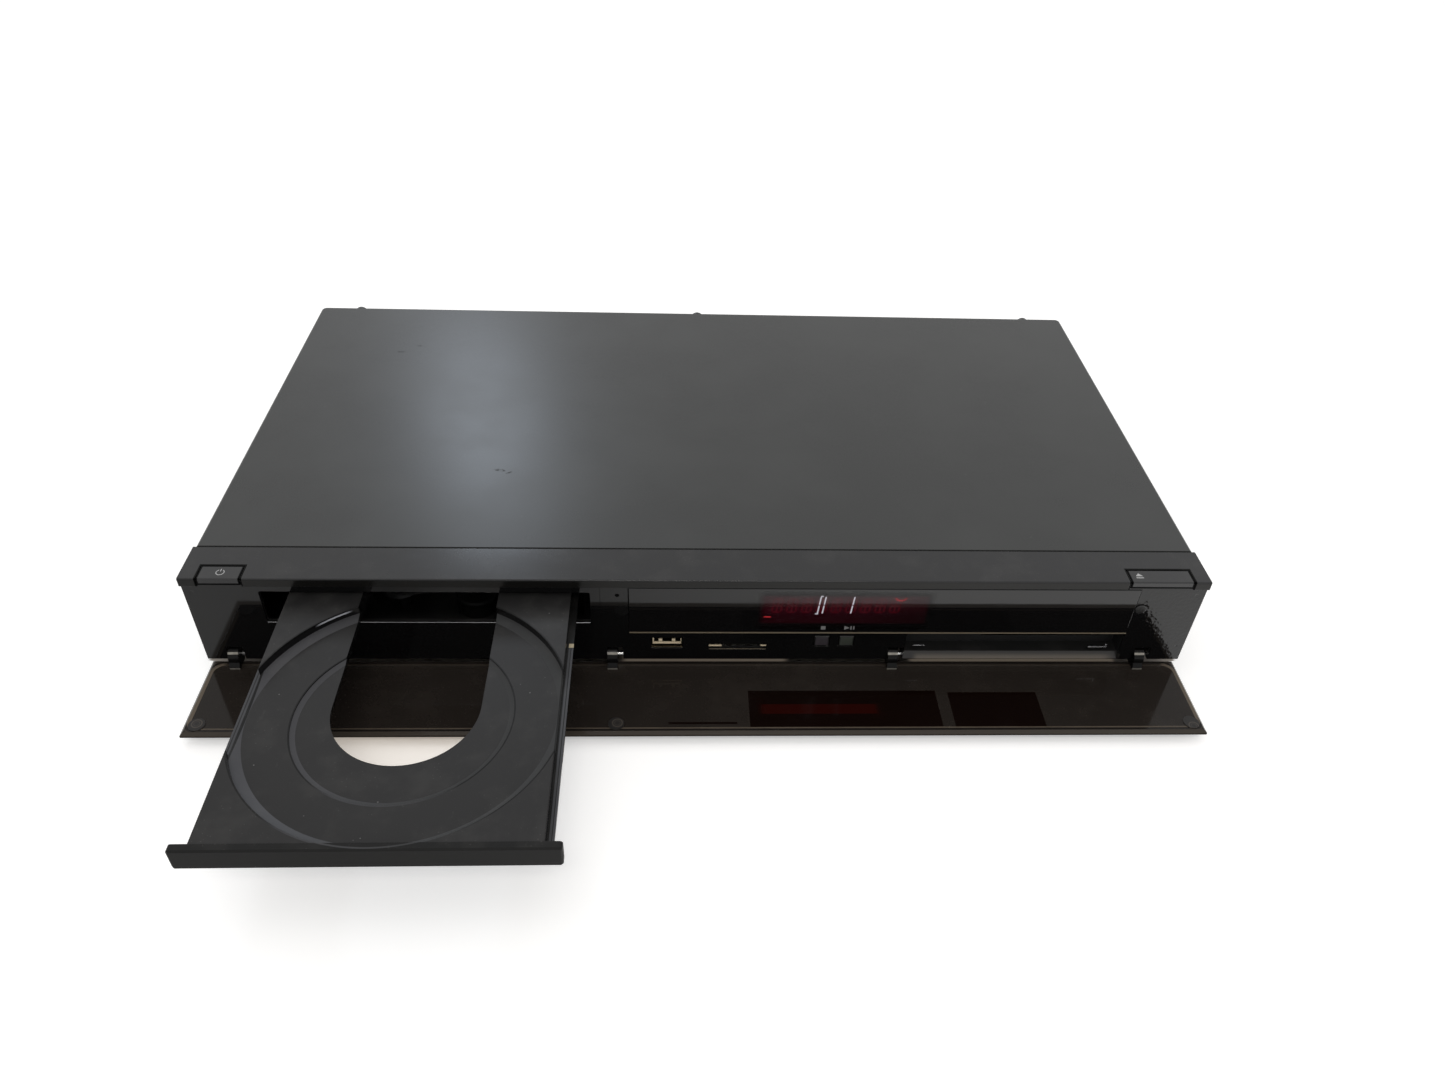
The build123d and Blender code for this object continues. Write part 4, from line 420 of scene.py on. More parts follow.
def door_acrylic():
    """Smoked clear door: almost opaque, with painted panes and painted highlights on its bevel
    all round.
    """
    look = Finish("door_acrylic", (0.014, 0.011, 0.010), 0.07, IOR=1.49,
                  Specular_IOR_Level=0.14)
    x, y, z = look.x, look.y, look.z
    drift = look.noise(35, 3.0, 0.5)
    smoke_and_painted_light = look.mix(drift, (0.0150, 0.0122, 0.0104), (0.0215, 0.0174, 0.0148))
    hinge = y.ramp(-5.0, 3.0)
    smoke_and_painted_light = look.mix(hinge * 0.5, smoke_and_painted_light, (0.034, 0.028, 0.023))
    # Two painted panes and a thin strip, and a painted reflection of the red display on the
    # left pane
    left = x.within(18.9, 101.0, 0.15) * y.within(-35.0, -14.5, 0.15)
    right = x.within(106.5, 145.6, 0.15) * y.within(-35.5, -15.5, 0.15)
    strip = x.within(-15.4, 13.3, 0.2) * y.within(-33.2, -32.2, 0.15)
    panes = left.largest(right).largest(strip)
    smoke_and_painted_light = look.mix(panes, smoke_and_painted_light, (0.0042, 0.0016, 0.0010))
    glow = x.within(26.0, 72.0, 4.0) * y.within(-27.2, -22.6, 0.8)
    smoke_and_painted_light = look.mix(glow * panes * 0.75, smoke_and_painted_light, (0.022, 0.0018, 0.0008))
    up = look.up.ramp(0.7, 0.9)
    # How far in from the nearest edge, with rounded corners
    across = (abs(x) - 208.0).largest(0.0)
    along = (abs(y + 17.1) - 13.5).largest(0.0)
    corner = 7.4
    inset = corner - (across * across + along * along) ** 0.5
    # Painted highlights on the bevel's pale lines, painted shade in the darker band between
    # them, weaker at the back; the sides' upper band is painted paler as a highlight
    side = (abs(x) - 207.0).ramp(0.0, 3.0)
    inner = inset.within(2.5, 2.9, 0.25) * 0.75 + inset.within(1.7, 3.0, 0.3) * side
    outer = inset.within(-0.2, 0.3, 0.15) * (0.5 - side * 0.3)
    back = y.ramp(-6.0, -3.0)
    patchy = look.noise(11, 3.0, 0.6) * 0.8 + 0.5
    rim = (inner + outer) * (1 - back * (1 - side) * 0.75) * patchy
    between = inset.within(0.5, 2.1, 0.2)
    smoke_and_painted_light = look.mix(between * up * 0.5, smoke_and_painted_light, (0.006, 0.005, 0.0045))
    smoke_and_painted_light = look.mix(rim * up, smoke_and_painted_light, (0.120, 0.096, 0.072))
    sides = (1 - up) * z.within(DOOR_TOP - 1.6, DOOR_TOP - 0.1, 0.2)
    smoke_and_painted_light = look.mix(sides * 0.35, smoke_and_painted_light, (0.10, 0.085, 0.068))
    plain = dusty(look, smoke_and_painted_light, 0.22, (0.22, 0.19, 0.16))
    smear = look.noise(16, 3.0, 0.6).ramp(0.45, 0.8)
    look.set("Alpha", 0.965 - hinge * 0.02 + panes * 0.035)
    return look.made(
        look.mix(panes, plain, smoke_and_painted_light),
        smear * 0.09 + panes * 0.05 + rim * 0.2 + 0.07,
        look.noise(12, 1.0, 0.4) + rim * 2.0, 0.012, edge=0.2)


def window_acrylic():
    """Smoked display window, clearer over the display and black elsewhere."""
    look = Finish("window_acrylic", (0.004, 0.004, 0.0045), 0.05, IOR=1.49,
                  Specular_IOR_Level=0.45)
    clear = look.x.within(26, 94, 5.0) * look.z.within(31.0, 50.0, 2.5)
    look.set("Alpha", 1 - clear * 0.38)
    smear = look.noise(18, 3.0, 0.6).ramp(0.45, 0.8)
    return look.made(
        look.mix(look.noise(20), (0.0018, 0.0018, 0.002), (0.0034, 0.0032, 0.0034)),
        smear * 0.05 + 0.035,
        look.noise(10, 1.0, 0.4), 0.006, edge=0.25)


def tray_satin():
    """Fine satin black moulding, glossy on its walls, with painted sheen, highlights and shade
    on its slopes, rims and rails.
    """
    color = (0.0185, 0.0180, 0.0183)
    look = Finish("tray_satin", color, 0.4, Specular_IOR_Level=0.2)
    dx, dy = look.x - TRAY_X, look.y - DISC_Y
    away = (dx * dx + dy * dy) ** 0.5
    up = abs(look.up)
    wall = 1 - up.ramp(0.3, 0.7)
    tilted = up.within(0.5, 0.985, 0.008)
    slopes = away.within(DISC_RADIUS - 4.1, DISC_RADIUS + 0.1, 0.1)
    slopes = slopes.largest(away.within(SMALL_DISC_RADIUS - 2.0, SMALL_DISC_RADIUS + 0.1, 0.1))
    slopes = slopes * tilted
    lip = look.y.ramp(-119.9, -120.3)
    drift = look.noise(24, 3.0, 0.55)
    body = look.mix(drift, tone(color, 0.93), tone(color, 1.08))
    body = look.mix(wall * (1 - lip) * 0.8, body, (0.0015, 0.0015, 0.0016))
    body = look.mix(lip, body, (0.0022, 0.0021, 0.0020))
    # Painted sheen on the recesses' slopes, paler towards the left
    left = (TRAY_X - look.x).ramp(-30.0, 50.0)
    pale = look.mix(left, (0.029, 0.030, 0.031), (0.052, 0.052, 0.057))
    body = look.mix(slopes * 0.9, body, pale)
    flat = up.ramp(0.9, 0.98)
    # Painted highlights on the recesses' rims, turning to painted shade at their front
    rims = away.within(DISC_RADIUS + 0.05, DISC_RADIUS + 0.55, 0.12) * look.z.ramp(48.0, 48.6)
    small = away.within(SMALL_DISC_RADIUS + 0.05, SMALL_DISC_RADIUS + 0.5, 0.1)
    small = small * look.z.within(44.4, 45.0, 0.1)
    ahead = (dy / away).ramp(-0.75, -0.95)
    body = look.mix(rims.largest(small), body, look.mix(ahead, BLACK, pale))
    # A painted highlight: a bright streak on the recess's wall, at the rear left
    glint = ((dx * -0.6 + dy * 0.8) / away).ramp(0.991, 0.998)
    glint = glint * away.within(DISC_RADIUS - 0.3, DISC_RADIUS + 0.4, 0.1)
    glint = glint * look.z.within(47.9, 48.5, 0.2)
    body = look.mix(glint, body, (0.42, 0.43, 0.47))
    # The rails: a painted shadow beside them, pale tops with a fine line, and painted shade
    # behind the opening
    gap = abs(dx).within(57.3, 58.1, 0.12) * look.z.ramp(46.6, 46.0) * (1 - lip)
    body = look.mix(gap, body, BLACK)
    level = look.z.within(RAIL_LOW, RAIL_HIGH, 0.1)
    rail = level * abs(dx).within(RAIL_IN, RAIL_OUT, 0.1)
    rail = rail * (1 - abs(dx).within(59.5, 59.75, 0.1) * 0.8)
    body = look.mix(rail * flat, body, (0.050, 0.051, 0.056))
    # Painted shade on and beside the rails behind the opening
    opening_shade = level * abs(dx).within(RAIL_IN - 0.6, RAIL_OUT + 0.1, 0.1)
    opening_shade = opening_shade * (1 - rail).largest(dx.ramp(0.0, 1.0) * look.y.ramp(-23.0, -22.0))
    body = look.mix(opening_shade * flat, body, BLACK)
    # A painted highlight on the right rail's tip
    tip_highlight = dx.within(RAIL_IN, RAIL_OUT, 0.1) * look.y.within(-24.5, -22.5, 0.2)
    body = look.mix(tip_highlight * flat, body, (0.42, 0.36, 0.24))
    # Painted shade on the tray's top towards the opening, under the panel
    body = look.mix(look.y.ramp(-26.0, -6.0) * flat * 0.45, body, even(0.004))
    scuff = look.noise(3.5, 4.0, 0.75, stretch=(1, 0.35, 1)).ramp(0.64, 0.7)
    body = look.mix(scuff * 0.06, body, even(0.12))
    specks = look.cells(7.0).ramp(0.045, 0.025) * up
    body = look.mix(specks * 0.5, body, even(0.25))
    grain = look.noise(0.35, 2.0, 0.6)
    gloss = wall * (1 - lip) * 0.22
    worn = drift * 0.05 + grain * 0.05 + scuff * 0.06
    return look.made(
        dusty(look, body, 0.3),
        worn - gloss + lip * 0.12 + 0.34,
        grain + scuff * 0.4, 0.010, edge=0.3)


def rubber(name):
    """Dull black rubber with dust in its pores."""
    look = Finish(name, even(0.012), 0.75)
    dust = look.noise(2.5, 4.0, 0.7).ramp(0.4, 0.8)
    return look.made(
        look.mix(dust * 0.35, even(0.011), (0.06, 0.057, 0.053)),
        dust * 0.12 + 0.68,
        look.noise(0.5, 3.0, 0.7), 0.03)


def pad_rubber():
    """Small door bumpers: dark soft plastic, with painted highlights in pale rings round a
    darker middle.
    """
    look = Finish("pad_rubber", (0.02, 0.018, 0.017), 0.5, Specular_IOR_Level=0.3)
    worn = look.noise(1.2, 3.0, 0.6).ramp(0.4, 0.7)
    away = [look.spot(x, y, 1.0, 1.0)
            for x, y in ((-209.4, -32.6), (209.8, -35.2), (-37.0, -32.7))]
    # Painted highlights: pale rings at each bumper's rims
    ring = any_of([here.within(1.9, 2.2, 0.2) for here in away]
                  + [here.within(1.1, 1.25, 0.15) * 0.6 for here in away])
    soft = look.mix(worn * 0.5, (0.008, 0.007, 0.0065), (0.022, 0.019, 0.017))
    return look.made(
        look.mix(ring * 0.8, soft, (0.065, 0.054, 0.045)),
        worn * 0.15 + 0.38,
        look.noise(0.4, 2.0, 0.6) + ring, 0.02)


def socket_gold():
    """Plated connector shell, warm at its mouth, with painted shade inside and on its upper
    face.
    """
    look = Finish("socket_gold", (0.5, 0.42, 0.26), 0.3, Metallic=1.0)
    wipe = look.noise(0.5, 3.0, 0.7, stretch=(1, 0.15, 1))
    # Painted shade: darker deep inside and on the mouth's upper face
    inside = look.y.ramp(2.0, 2.5) * look.y.ramp(120.0, 90.0)
    mouth = look.mix(wipe, (0.46, 0.38, 0.24), (0.34, 0.27, 0.16))
    upper = look.y.ramp(40.0, 20.0) * look.z.ramp(19.0, 19.6)
    mouth = look.mix(upper, mouth, (0.04, 0.033, 0.02))
    return look.made(
        look.mix(inside, mouth, (0.030, 0.024, 0.015)),
        wipe * 0.18 + inside * 0.25 + 0.2,
        wipe, 0.006)


def tongue_plastic():
    """Dark contact carrier with the contacts' bright strips on its lower side."""
    look = Finish("tongue_plastic", (0.03, 0.028, 0.024), 0.4)
    comb = ((look.x + 16.5) * 2.36).wave().ramp(0.2, 0.5)
    metal = comb * look.z.ramp(21.6, 21.3)
    speck = look.noise(0.6, 2.0)
    body = look.mix(speck, (0.020, 0.019, 0.017), (0.034, 0.031, 0.027))
    look.set("Metallic", metal * 0.9)
    return look.made(
        look.mix(metal, body, (0.86, 0.76, 0.52)),
        speck * 0.1 + 0.3,
        metal + speck * 0.2, 0.02)


def cast_metal(name, color, roughness):
    """Die-cast metal: mottled, slightly pitted, with brighter high spots."""
    look = Finish(name, color, roughness, Metallic=1.0)
    mottle = look.noise(2.2, 4.0, 0.7)
    pits = look.cells(1.3).ramp(0.12, 0.04)
    return look.made(
        look.mix(mottle, tone(color, 0.75), tone(color, 1.2)),
        mottle * 0.2 + (roughness - 0.1),
        mottle - pits, 0.04)


def lit_glass(name, glow):
    """Dark glass over a fine grid; with glow it shines a dim red, as the display's filter."""
    look = Finish(name, (0.02, 0.004, 0.005), 0.3, Emission_Strength=1.0,
                  Specular_IOR_Level=0.1)
    mesh = ((look.x * 9.0).wave() * (look.z * 9.0).wave()).ramp(-0.2, 0.6)
    patch = look.noise(30, 2.0) * 0.4 + 0.8
    fade = look.x.ramp(104, 45) * 0.6 + 0.4
    edge = look.x.within(24.0, 95.5, 2.2) * look.z.within(30.8, 45.8, 0.8)
    level = patch * fade * edge * (look.z.ramp(34.0, 44.0) * 1.25 + 0.6) * glow
    glass = look.mix(mesh * 0.5, (0.006, 0.0015, 0.002), (0.011, 0.0025, 0.003))
    look.set("Base Color", glass)
    look.set("Emission Color", look.mix(level, (0, 0, 0), (0.105, 0.0035, 0.016)))
    look.set("Roughness", mesh * 0.05 + 0.3)
    return look.material


def glowing(name, color, strength):
    """A lit segment, a little uneven along its length."""
    look = Finish(name, tone(color, 0.3), 0.4, Emission_Strength=strength)
    uneven = look.noise(1.6, 2.0)
    look.set("Emission Color", look.mix(uneven, color, tone(color, 0.8)))
    look.set("Base Color", look.mix(uneven, tone(color, 0.35), tone(color, 0.25)))
    return look.material


def printed(name, color, roughness=0.35):
    """Screen-printed ink with a slightly ragged, thin film."""
    look = Finish(name, color, roughness)
    film = look.noise(0.25, 3.0, 0.7)
    return look.made(
        look.mix(film, tone(color, 0.85), tone(color, 1.1)),
        film * 0.15 + roughness,
        film, 0.01)


def disk_cast():
    """The hard disk's aluminium: milled rim, cast body and a bare smooth lid."""
    color = (0.52, 0.52, 0.53)
    look = Finish("disk_cast", color, 0.4, Metallic=1.0)
    lid = look.z.ramp(45.9, 46.1)
    mottle = look.noise(1.8, 4.0, 0.7)
    brushed = look.noise(0.3, 2.0, 0.6, stretch=(1, 0.03, 1))
    body = look.mix(mottle, tone(color, 0.6), tone(color, 0.95))
    top = look.mix(brushed, tone(color, 0.95), tone(color, 1.25))
    return look.made(
        look.mix(lid, body, top),
        mottle * 0.15 - lid * 0.1 + 0.36,
        mottle * (1 - lid) + brushed * lid * 0.2, 0.05)


def coated_lens():
    """A small moulded lens: violet coating on its dome and a frosted rim."""
    look = Finish("lens_glass", (0.2, 0.2, 0.4), 0.05, Transmission_Weight=0.6)
    dome = look.up.ramp(0.55, 0.95)
    bloom = look.noise(1.4, 2.0)
    coating = look.mix(bloom, (0.16, 0.12, 0.42), (0.10, 0.22, 0.40))
    return look.made(
        look.mix(dome, (0.55, 0.56, 0.58), coating),
        bloom * 0.03 - dome * 0.3 + 0.34,
        look.noise(0.3, 2.0) * (1 - dome), 0.01)


def tape_yellow():
    """Transformer: yellow tape round the winding, dark ferrite elsewhere."""
    look = Finish("tape_yellow", (0.65, 0.48, 0.06), 0.4)
    dx, dy = look.x - 150.0, look.y - 136.0
    core = abs(dx).within(-1, 10.1, 0.1) * abs(dy).within(-1, 11.1, 0.1)
    laps = (look.z * 2.1).wave().ramp(0.7, 0.95)
    tape = look.mix(laps * 0.4, (0.66, 0.50, 0.07), (0.48, 0.34, 0.03))
    ferrite = look.mix(look.noise(1.5, 3.0), (0.03, 0.03, 0.031), (0.05, 0.05, 0.052))
    return look.made(
        look.mix(core, ferrite, tape),
        look.noise(2.0) * 0.15 + 0.35,
        look.noise(0.6, 3.0) + laps, 0.03)


def capacitor_can():
    """Dark shrink sleeve with a pale stripe and a bare scored top."""
    look = Finish("capacitor_can", (0.02, 0.025, 0.05), 0.3)
    top = look.up.ramp(0.9, 0.98)
    stripe = look.sideways.ramp(0.86, 0.9)
    sleeve = look.mix(look.noise(3), (0.016, 0.02, 0.045), (0.025, 0.032, 0.065))
    sleeve = look.mix(stripe, sleeve, (0.5, 0.5, 0.52))
    look.set("Metallic", top)
    return look.made(
        look.mix(top, sleeve, (0.62, 0.62, 0.63)),
        top * 0.12 + look.noise(1.5) * 0.08 + 0.26,
        look.noise(0.9, 2.0), 0.02)


def floor_white():
    """Plain white table, as bright as the background, with painted shade where the recorder
    covers it.
    """
    look = Finish("floor_white", (0.86, 0.855, 0.85), 0.8, Specular_IOR_Level=0.2)
    x, y = look.x, look.y
    drift = look.noise(120, 3.0, 0.5)
    # Distance from the middle, evened out for the widths of the door, the front and the body
    reach = abs(x) - y.ramp(10.4, 11.4) * 3.5 + y.ramp(14.0, 30.0) * 9.0
    under_body = reach.ramp(218.4, 216.0) * y.within(-22.0, 222.0, 10.0)
    white = look.mix(drift, (0.865, 0.86, 0.855), (0.85, 0.845, 0.84))
    path = look.tree.nodes.new("ShaderNodeLightPath")
    mirrored = Field(look, path.outputs["Is Glossy Ray"])
    # The soft shadow before the door, which only the front's reflections show
    before = abs(x).ramp(221.0, 219.5) * y.ramp(-47.9, -47.3) * mirrored
    # Painted shade in the table's colour under the body and before the door
    look.set("Base Color", look.mix(under_body.largest(before), white, (0.30, 0.27, 0.24)))
    look.bump(look.noise(0.8, 2.0, 0.5), 0.01)
    # Painted shade: the table's glow is dimmer and warmer under the tray, and gone under the
    # body but for the leak
    under_tray = x.within(-168.0, -72.0, 8.0) * y.within(-66.0, -22.0, 8.0)
    warm = look.mix(under_tray * 0.9, even(0.40), (0.33, 0.285, 0.235))
    # Light that leaks along the gap over the door's hinge
    leak = x.within(-34.0, 36.0, 4.0).largest(x.within(97.0, 190.0, 3.0))
    leak = leak * y.within(9.4, 13.4, 0.6)
    under = look.mix(leak, (0, 0, 0), (0.080, 0.066, 0.051))
    look.set("Emission Color", look.mix(under_body, warm, under))
    seen = Field(look, path.outputs["Is Camera Ray"])
    seen = seen.largest(Field(look, path.outputs["Is Transmission Ray"]))
    # The front mirrors a table that gets brighter towards the right
    seen = seen.largest(mirrored * (1 - before) * (x.ramp(-150.0, 150.0) * 1.8 + 0.15))
    look.set("Emission Strength", seen)
    return look.material


# Making pieces


def start():
    """Deselects everything, so that only the new piece is worked on."""
    if bpy.context.object and bpy.context.object.mode != "OBJECT":
        bpy.ops.object.mode_set(mode="OBJECT")
    bpy.ops.object.select_all(action="DESELECT")


def edit_all():
    """Edit mode, with the whole piece selected."""
    bpy.ops.object.mode_set(mode="EDIT")
    bpy.ops.mesh.select_all(action="SELECT")


def named(name):
    """Names the piece that was just made, and its mesh."""
    piece = bpy.context.object
    piece.name = name
    piece.data.name = name
    return piece


def settle(piece, look, body, smooth=None):
    """Puts the piece's place into its mesh, gives it its look and makes it ride."""
    start()
    piece.select_set(True)
    bpy.context.view_layer.objects.active = piece
    bpy.ops.object.transform_apply(location=True, rotation=True, scale=True)
    edit_all()
    bpy.ops.mesh.remove_doubles(threshold=0.000001)
    bpy.ops.mesh.normals_make_consistent(inside=False)
    bpy.ops.object.mode_set(mode="OBJECT")
    if smooth is not None:
        bpy.ops.object.shade_smooth_by_angle(angle=math.radians(smooth))
    piece.data.materials.clear()
    piece.data.materials.append(look)
    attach(piece, body)


def faces_where(test):
    """In edit mode, selects the faces whose centre and normal pass the test."""
    mesh = bmesh.from_edit_mesh(bpy.context.object.data)
    for face in mesh.faces:
        face.select_set(bool(test(face.calc_center_median(), face.normal)))
    mesh.select_flush_mode()
    bmesh.update_edit_mesh(bpy.context.object.data)


def edges_where(test):
    """In edit mode, selects the edges whose two ends pass the test."""
    mesh = bmesh.from_edit_mesh(bpy.context.object.data)
    bpy.context.tool_settings.mesh_select_mode = (False, True, False)
    for face in mesh.faces:
        face.select_set(False)
    for edge in mesh.edges:
        edge.select_set(bool(test(edge.verts[0].co, edge.verts[1].co)))
    bmesh.update_edit_mesh(bpy.context.object.data)


def slab(name, x0, x1, y0, y1, z0, z1, rounding=0.0):
    """A thin block between planes in millimetres, with its edges rounded."""
    start()
    low, high = place(x0, y0, z0), place(x1, y1, z1)
    bpy.ops.mesh.primitive_cube_add(size=1, location=(low + high) / 2)
    piece = named(name)
    piece.dimensions = high - low
    bpy.ops.object.transform_apply(location=False, rotation=False, scale=True)
    if rounding:
        edit_all()
        bpy.ops.mesh.bevel(offset=rounding * MM, segments=2, affect="EDGES")
        bpy.ops.object.mode_set(mode="OBJECT")
    return piece


def joined(name, pieces):
    """One piece out of several."""
    start()
    for piece in pieces:
        piece.select_set(True)
    bpy.context.view_layer.objects.active = pieces[0]
    bpy.ops.object.join()
    return named(name)


def wedge(name, x, y, z, width, height, thick, turn=0.0, upright=True):
    """A triangular plate: a three-sided prism, squeezed to its width and height."""
    start()
    bpy.ops.mesh.primitive_cylinder_add(vertices=3, radius=1, depth=1, location=(0, 0, 0))
    piece = named(name)
    piece.rotation_euler = (0, 0, turn)
    bpy.ops.object.transform_apply(location=False, rotation=True, scale=False)
    spread = [vertex.co.copy() for vertex in piece.data.vertices]
    wide = max(v.x for v in spread) - min(v.x for v in spread)
    tall = max(v.y for v in spread) - min(v.y for v in spread)
    piece.scale = (width * MM / wide, height * MM / tall, thick * MM)
    if upright:
        piece.rotation_euler = (math.pi / 2, 0, 0)
    piece.location = place(x, y, z)
    return piece


def loop(name, x, y, z, radius, bar, thick, gap=0.0):
    """A flat ring lying on its face, opened at the back by gap degrees."""
    start()
    bpy.ops.mesh.primitive_circle_add(vertices=64, radius=radius * MM, fill_type="NOTHING")
    piece = named(name)
    edit_all()
    bpy.ops.mesh.extrude_edges_move(TRANSFORM_OT_translate={"value": (0, 0, 0)})
    factor = (radius - bar) / radius
    bpy.ops.transform.resize(value=(factor, factor, 1))
    if gap:
        half = math.radians(gap / 2)
        faces_where(lambda c, n: abs(math.atan2(c.x, c.y)) < half)
        bpy.ops.mesh.delete(type="FACE")
    bpy.ops.mesh.select_all(action="SELECT")
    bpy.ops.mesh.extrude_region_move(TRANSFORM_OT_translate={"value": (0, 0, thick * MM)})
    bpy.ops.object.mode_set(mode="OBJECT")
    piece.location = place(x, y, z)
    return piece


# Signs on the buttons and the window


def power_sign(ink):
    """The open ring with a bar."""
    x, y, z = -198.8, 4.1, STRIP_TOP + 0.005
    ring = loop("power_ring", x, y, z, 1.75, 0.34, 0.03, gap=70)
    bar = slab("power_bar", x - 0.17, x + 0.17, y + 0.5, y + 2.1, z, z + 0.03)
    settle(joined("power_sign", [ring, bar]), ink, "power_button")


def eject_sign(ink):
    """The arrow head over a bar."""
    x, y, z = 184.6, 4.6, STRIP_TOP + 0.005
    arrow = wedge("eject_arrow", x, y + 0.15, z + 0.015, 3.2, 1.9, 0.03, upright=False)
    bar = slab("eject_bar", x - 1.6, x + 1.6, y - 1.75, y - 1.2, z, z + 0.03)
    settle(joined("eject_sign", [arrow, bar]), ink, "open_button")


def key_signs(ink):
    """Stop, play and pause on the window, over the two small keys."""
    y, thick, low, high = WINDOW_FACE - 0.03, 0.025, 29.7, 31.7
    square = slab("stop_mark", 50.3, 52.3, y, y + thick, low, high)
    play = wedge("play_mark", 61.3, y + 0.012, (low + high) / 2, 2.3, 2.3, thick,
                 turn=math.radians(-90))
    bars = [slab("pause_mark", x, x + 0.55, y, y + thick, low, high) for x in (63.2, 64.4)]
    settle(joined("key_signs", [square, play, *bars]), ink, "chassis")


# What the display shows


def segment(name, x0, z0, x1, z1, y, thick):
    """One bar of a character, with its two ends cut to points."""
    start()
    length = math.hypot(x1 - x0, z1 - z0)
    bpy.ops.mesh.primitive_cube_add(size=1, location=(0, 0, 0))
    piece = named(name)
    piece.scale = ((length - thick * 0.8) * MM, 0.05 * MM, thick * MM)
    bpy.ops.object.transform_apply(location=False, rotation=False, scale=True)
    bpy.ops.object.mode_set(mode="EDIT")
    outer, same = length * MM * 0.3, 1e-7
    edges_where(lambda a, b: abs(a.x) > outer and abs(a.x - b.x) < same
                and abs(a.z - b.z) < same)
    bpy.ops.mesh.bevel(offset=thick * 0.3 * MM, segments=1, affect="EDGES")
    bpy.ops.object.mode_set(mode="OBJECT")
    piece.rotation_euler = (0, -math.atan2(z1 - z0, x1 - x0), 0)
    piece.location = place((x0 + x1) / 2, y, (z0 + z1) / 2)
    return piece


def character_bars(x, z, wide, tall, slant):
    """The ends of a character's bars, named by place, leaning by slant."""
    def corner(u, v):
        return x + u * wide + v * tall * slant, z + v * tall
    a, b, c = corner(0, 0), corner(1, 0), corner(0, 0.5)
    d, e, f = corner(1, 0.5), corner(0, 1), corner(1, 1)
    top, bottom = corner(0.5, 1), corner(0.5, 0)
    centre = corner(0.5, 0.5)
    return {"left_low": (a, c), "left_high": (c, e), "right_low": (b, d), "right_high": (d, f),
            "base": (a, b), "head": (e, f), "left_bar": (c, centre), "right_bar": (centre, d),
            "stem_low": (bottom, centre), "stem_high": (centre, top)}


def display_characters(lit, unlit):
    """Two lit characters, and the unlit bars of the nine places showing faintly with a painted
    glow.
    """
    y, low, tall, slant = DISPLAY, 36.1, 10.2, 0.09
    bright, faint = [], []
    zero = character_bars(48.5, low, 2.1, tall, slant)
    one = character_bars(63.0, low, 0.0, tall, slant)
    (x0, z0), (x1, z1) = zero["base"][0], zero["head"][0]
    ends = [zero[name] for name in ("left_low", "left_high", "right_low", "right_high")]
    ends += [one["left_low"], one["left_high"]]
    # Two short bars across the zero's foot and head
    ends += [((x0 - 1.3, z0), (x0 + 0.7, z0)), ((x1 - 0.4, z1), (x1 + 1.2, z1))]
    for index, ((x0, z0), (x1, z1)) in enumerate(ends):
        bright.append(segment(f"lit_{index}", x0, z0, x1, z1, y, 0.6))
    first, pitch = 28.6, 6.4
    for index in range(9):
        bars = character_bars(first + index * pitch, 37.0, 3.9, 7.6, 0.1)
        for name, ((x0, z0), (x1, z1)) in bars.items():
            faint.append(segment(f"bar_{index}_{name}", x0, z0, x1, z1, y + 0.06, 0.8))
    settle(joined("display_lit", bright), lit, "chassis")
    settle(joined("display_unlit", faint), unlit, "chassis")


def display_marks(film, red):
    """The red filter before the tube, with a lit arc and a lit dash on it."""
    filter_film = slab("display_filter", 22.6, 97.1, 4.35, 4.6, 30.1, 46.4, 0.1)
    settle(filter_film, film, "chassis")
    bars = [segment("dash", 25.2, 34.2, 28.6, 34.2, DISPLAY, 0.35)]
    x, z, wide, tall = 84.1, 46.0, 2.4, 2.2
    first, bend = 190, 26.7
    for step in range(6):
        turns = [math.radians(first + (step + after) * bend) for after in (0, 1)]
        points = [value for turn in turns
                  for value in (x + wide * math.cos(turn), z + tall * math.sin(turn))]
        bars.append(segment(f"arc_{step}", *points, DISPLAY, 0.5))
    settle(joined("display_arc", bars), red, "chassis")


# Small things on the front


def trim(name, look, slot, *boxes):
    """Thin rounded strips, each given by its six planes, joined to one piece."""
    strips = [slab(f"{name}_{index}", *planes, 0.1) for index, planes in enumerate(boxes)]
    settle(joined(name, strips), look, "chassis", smooth=40)


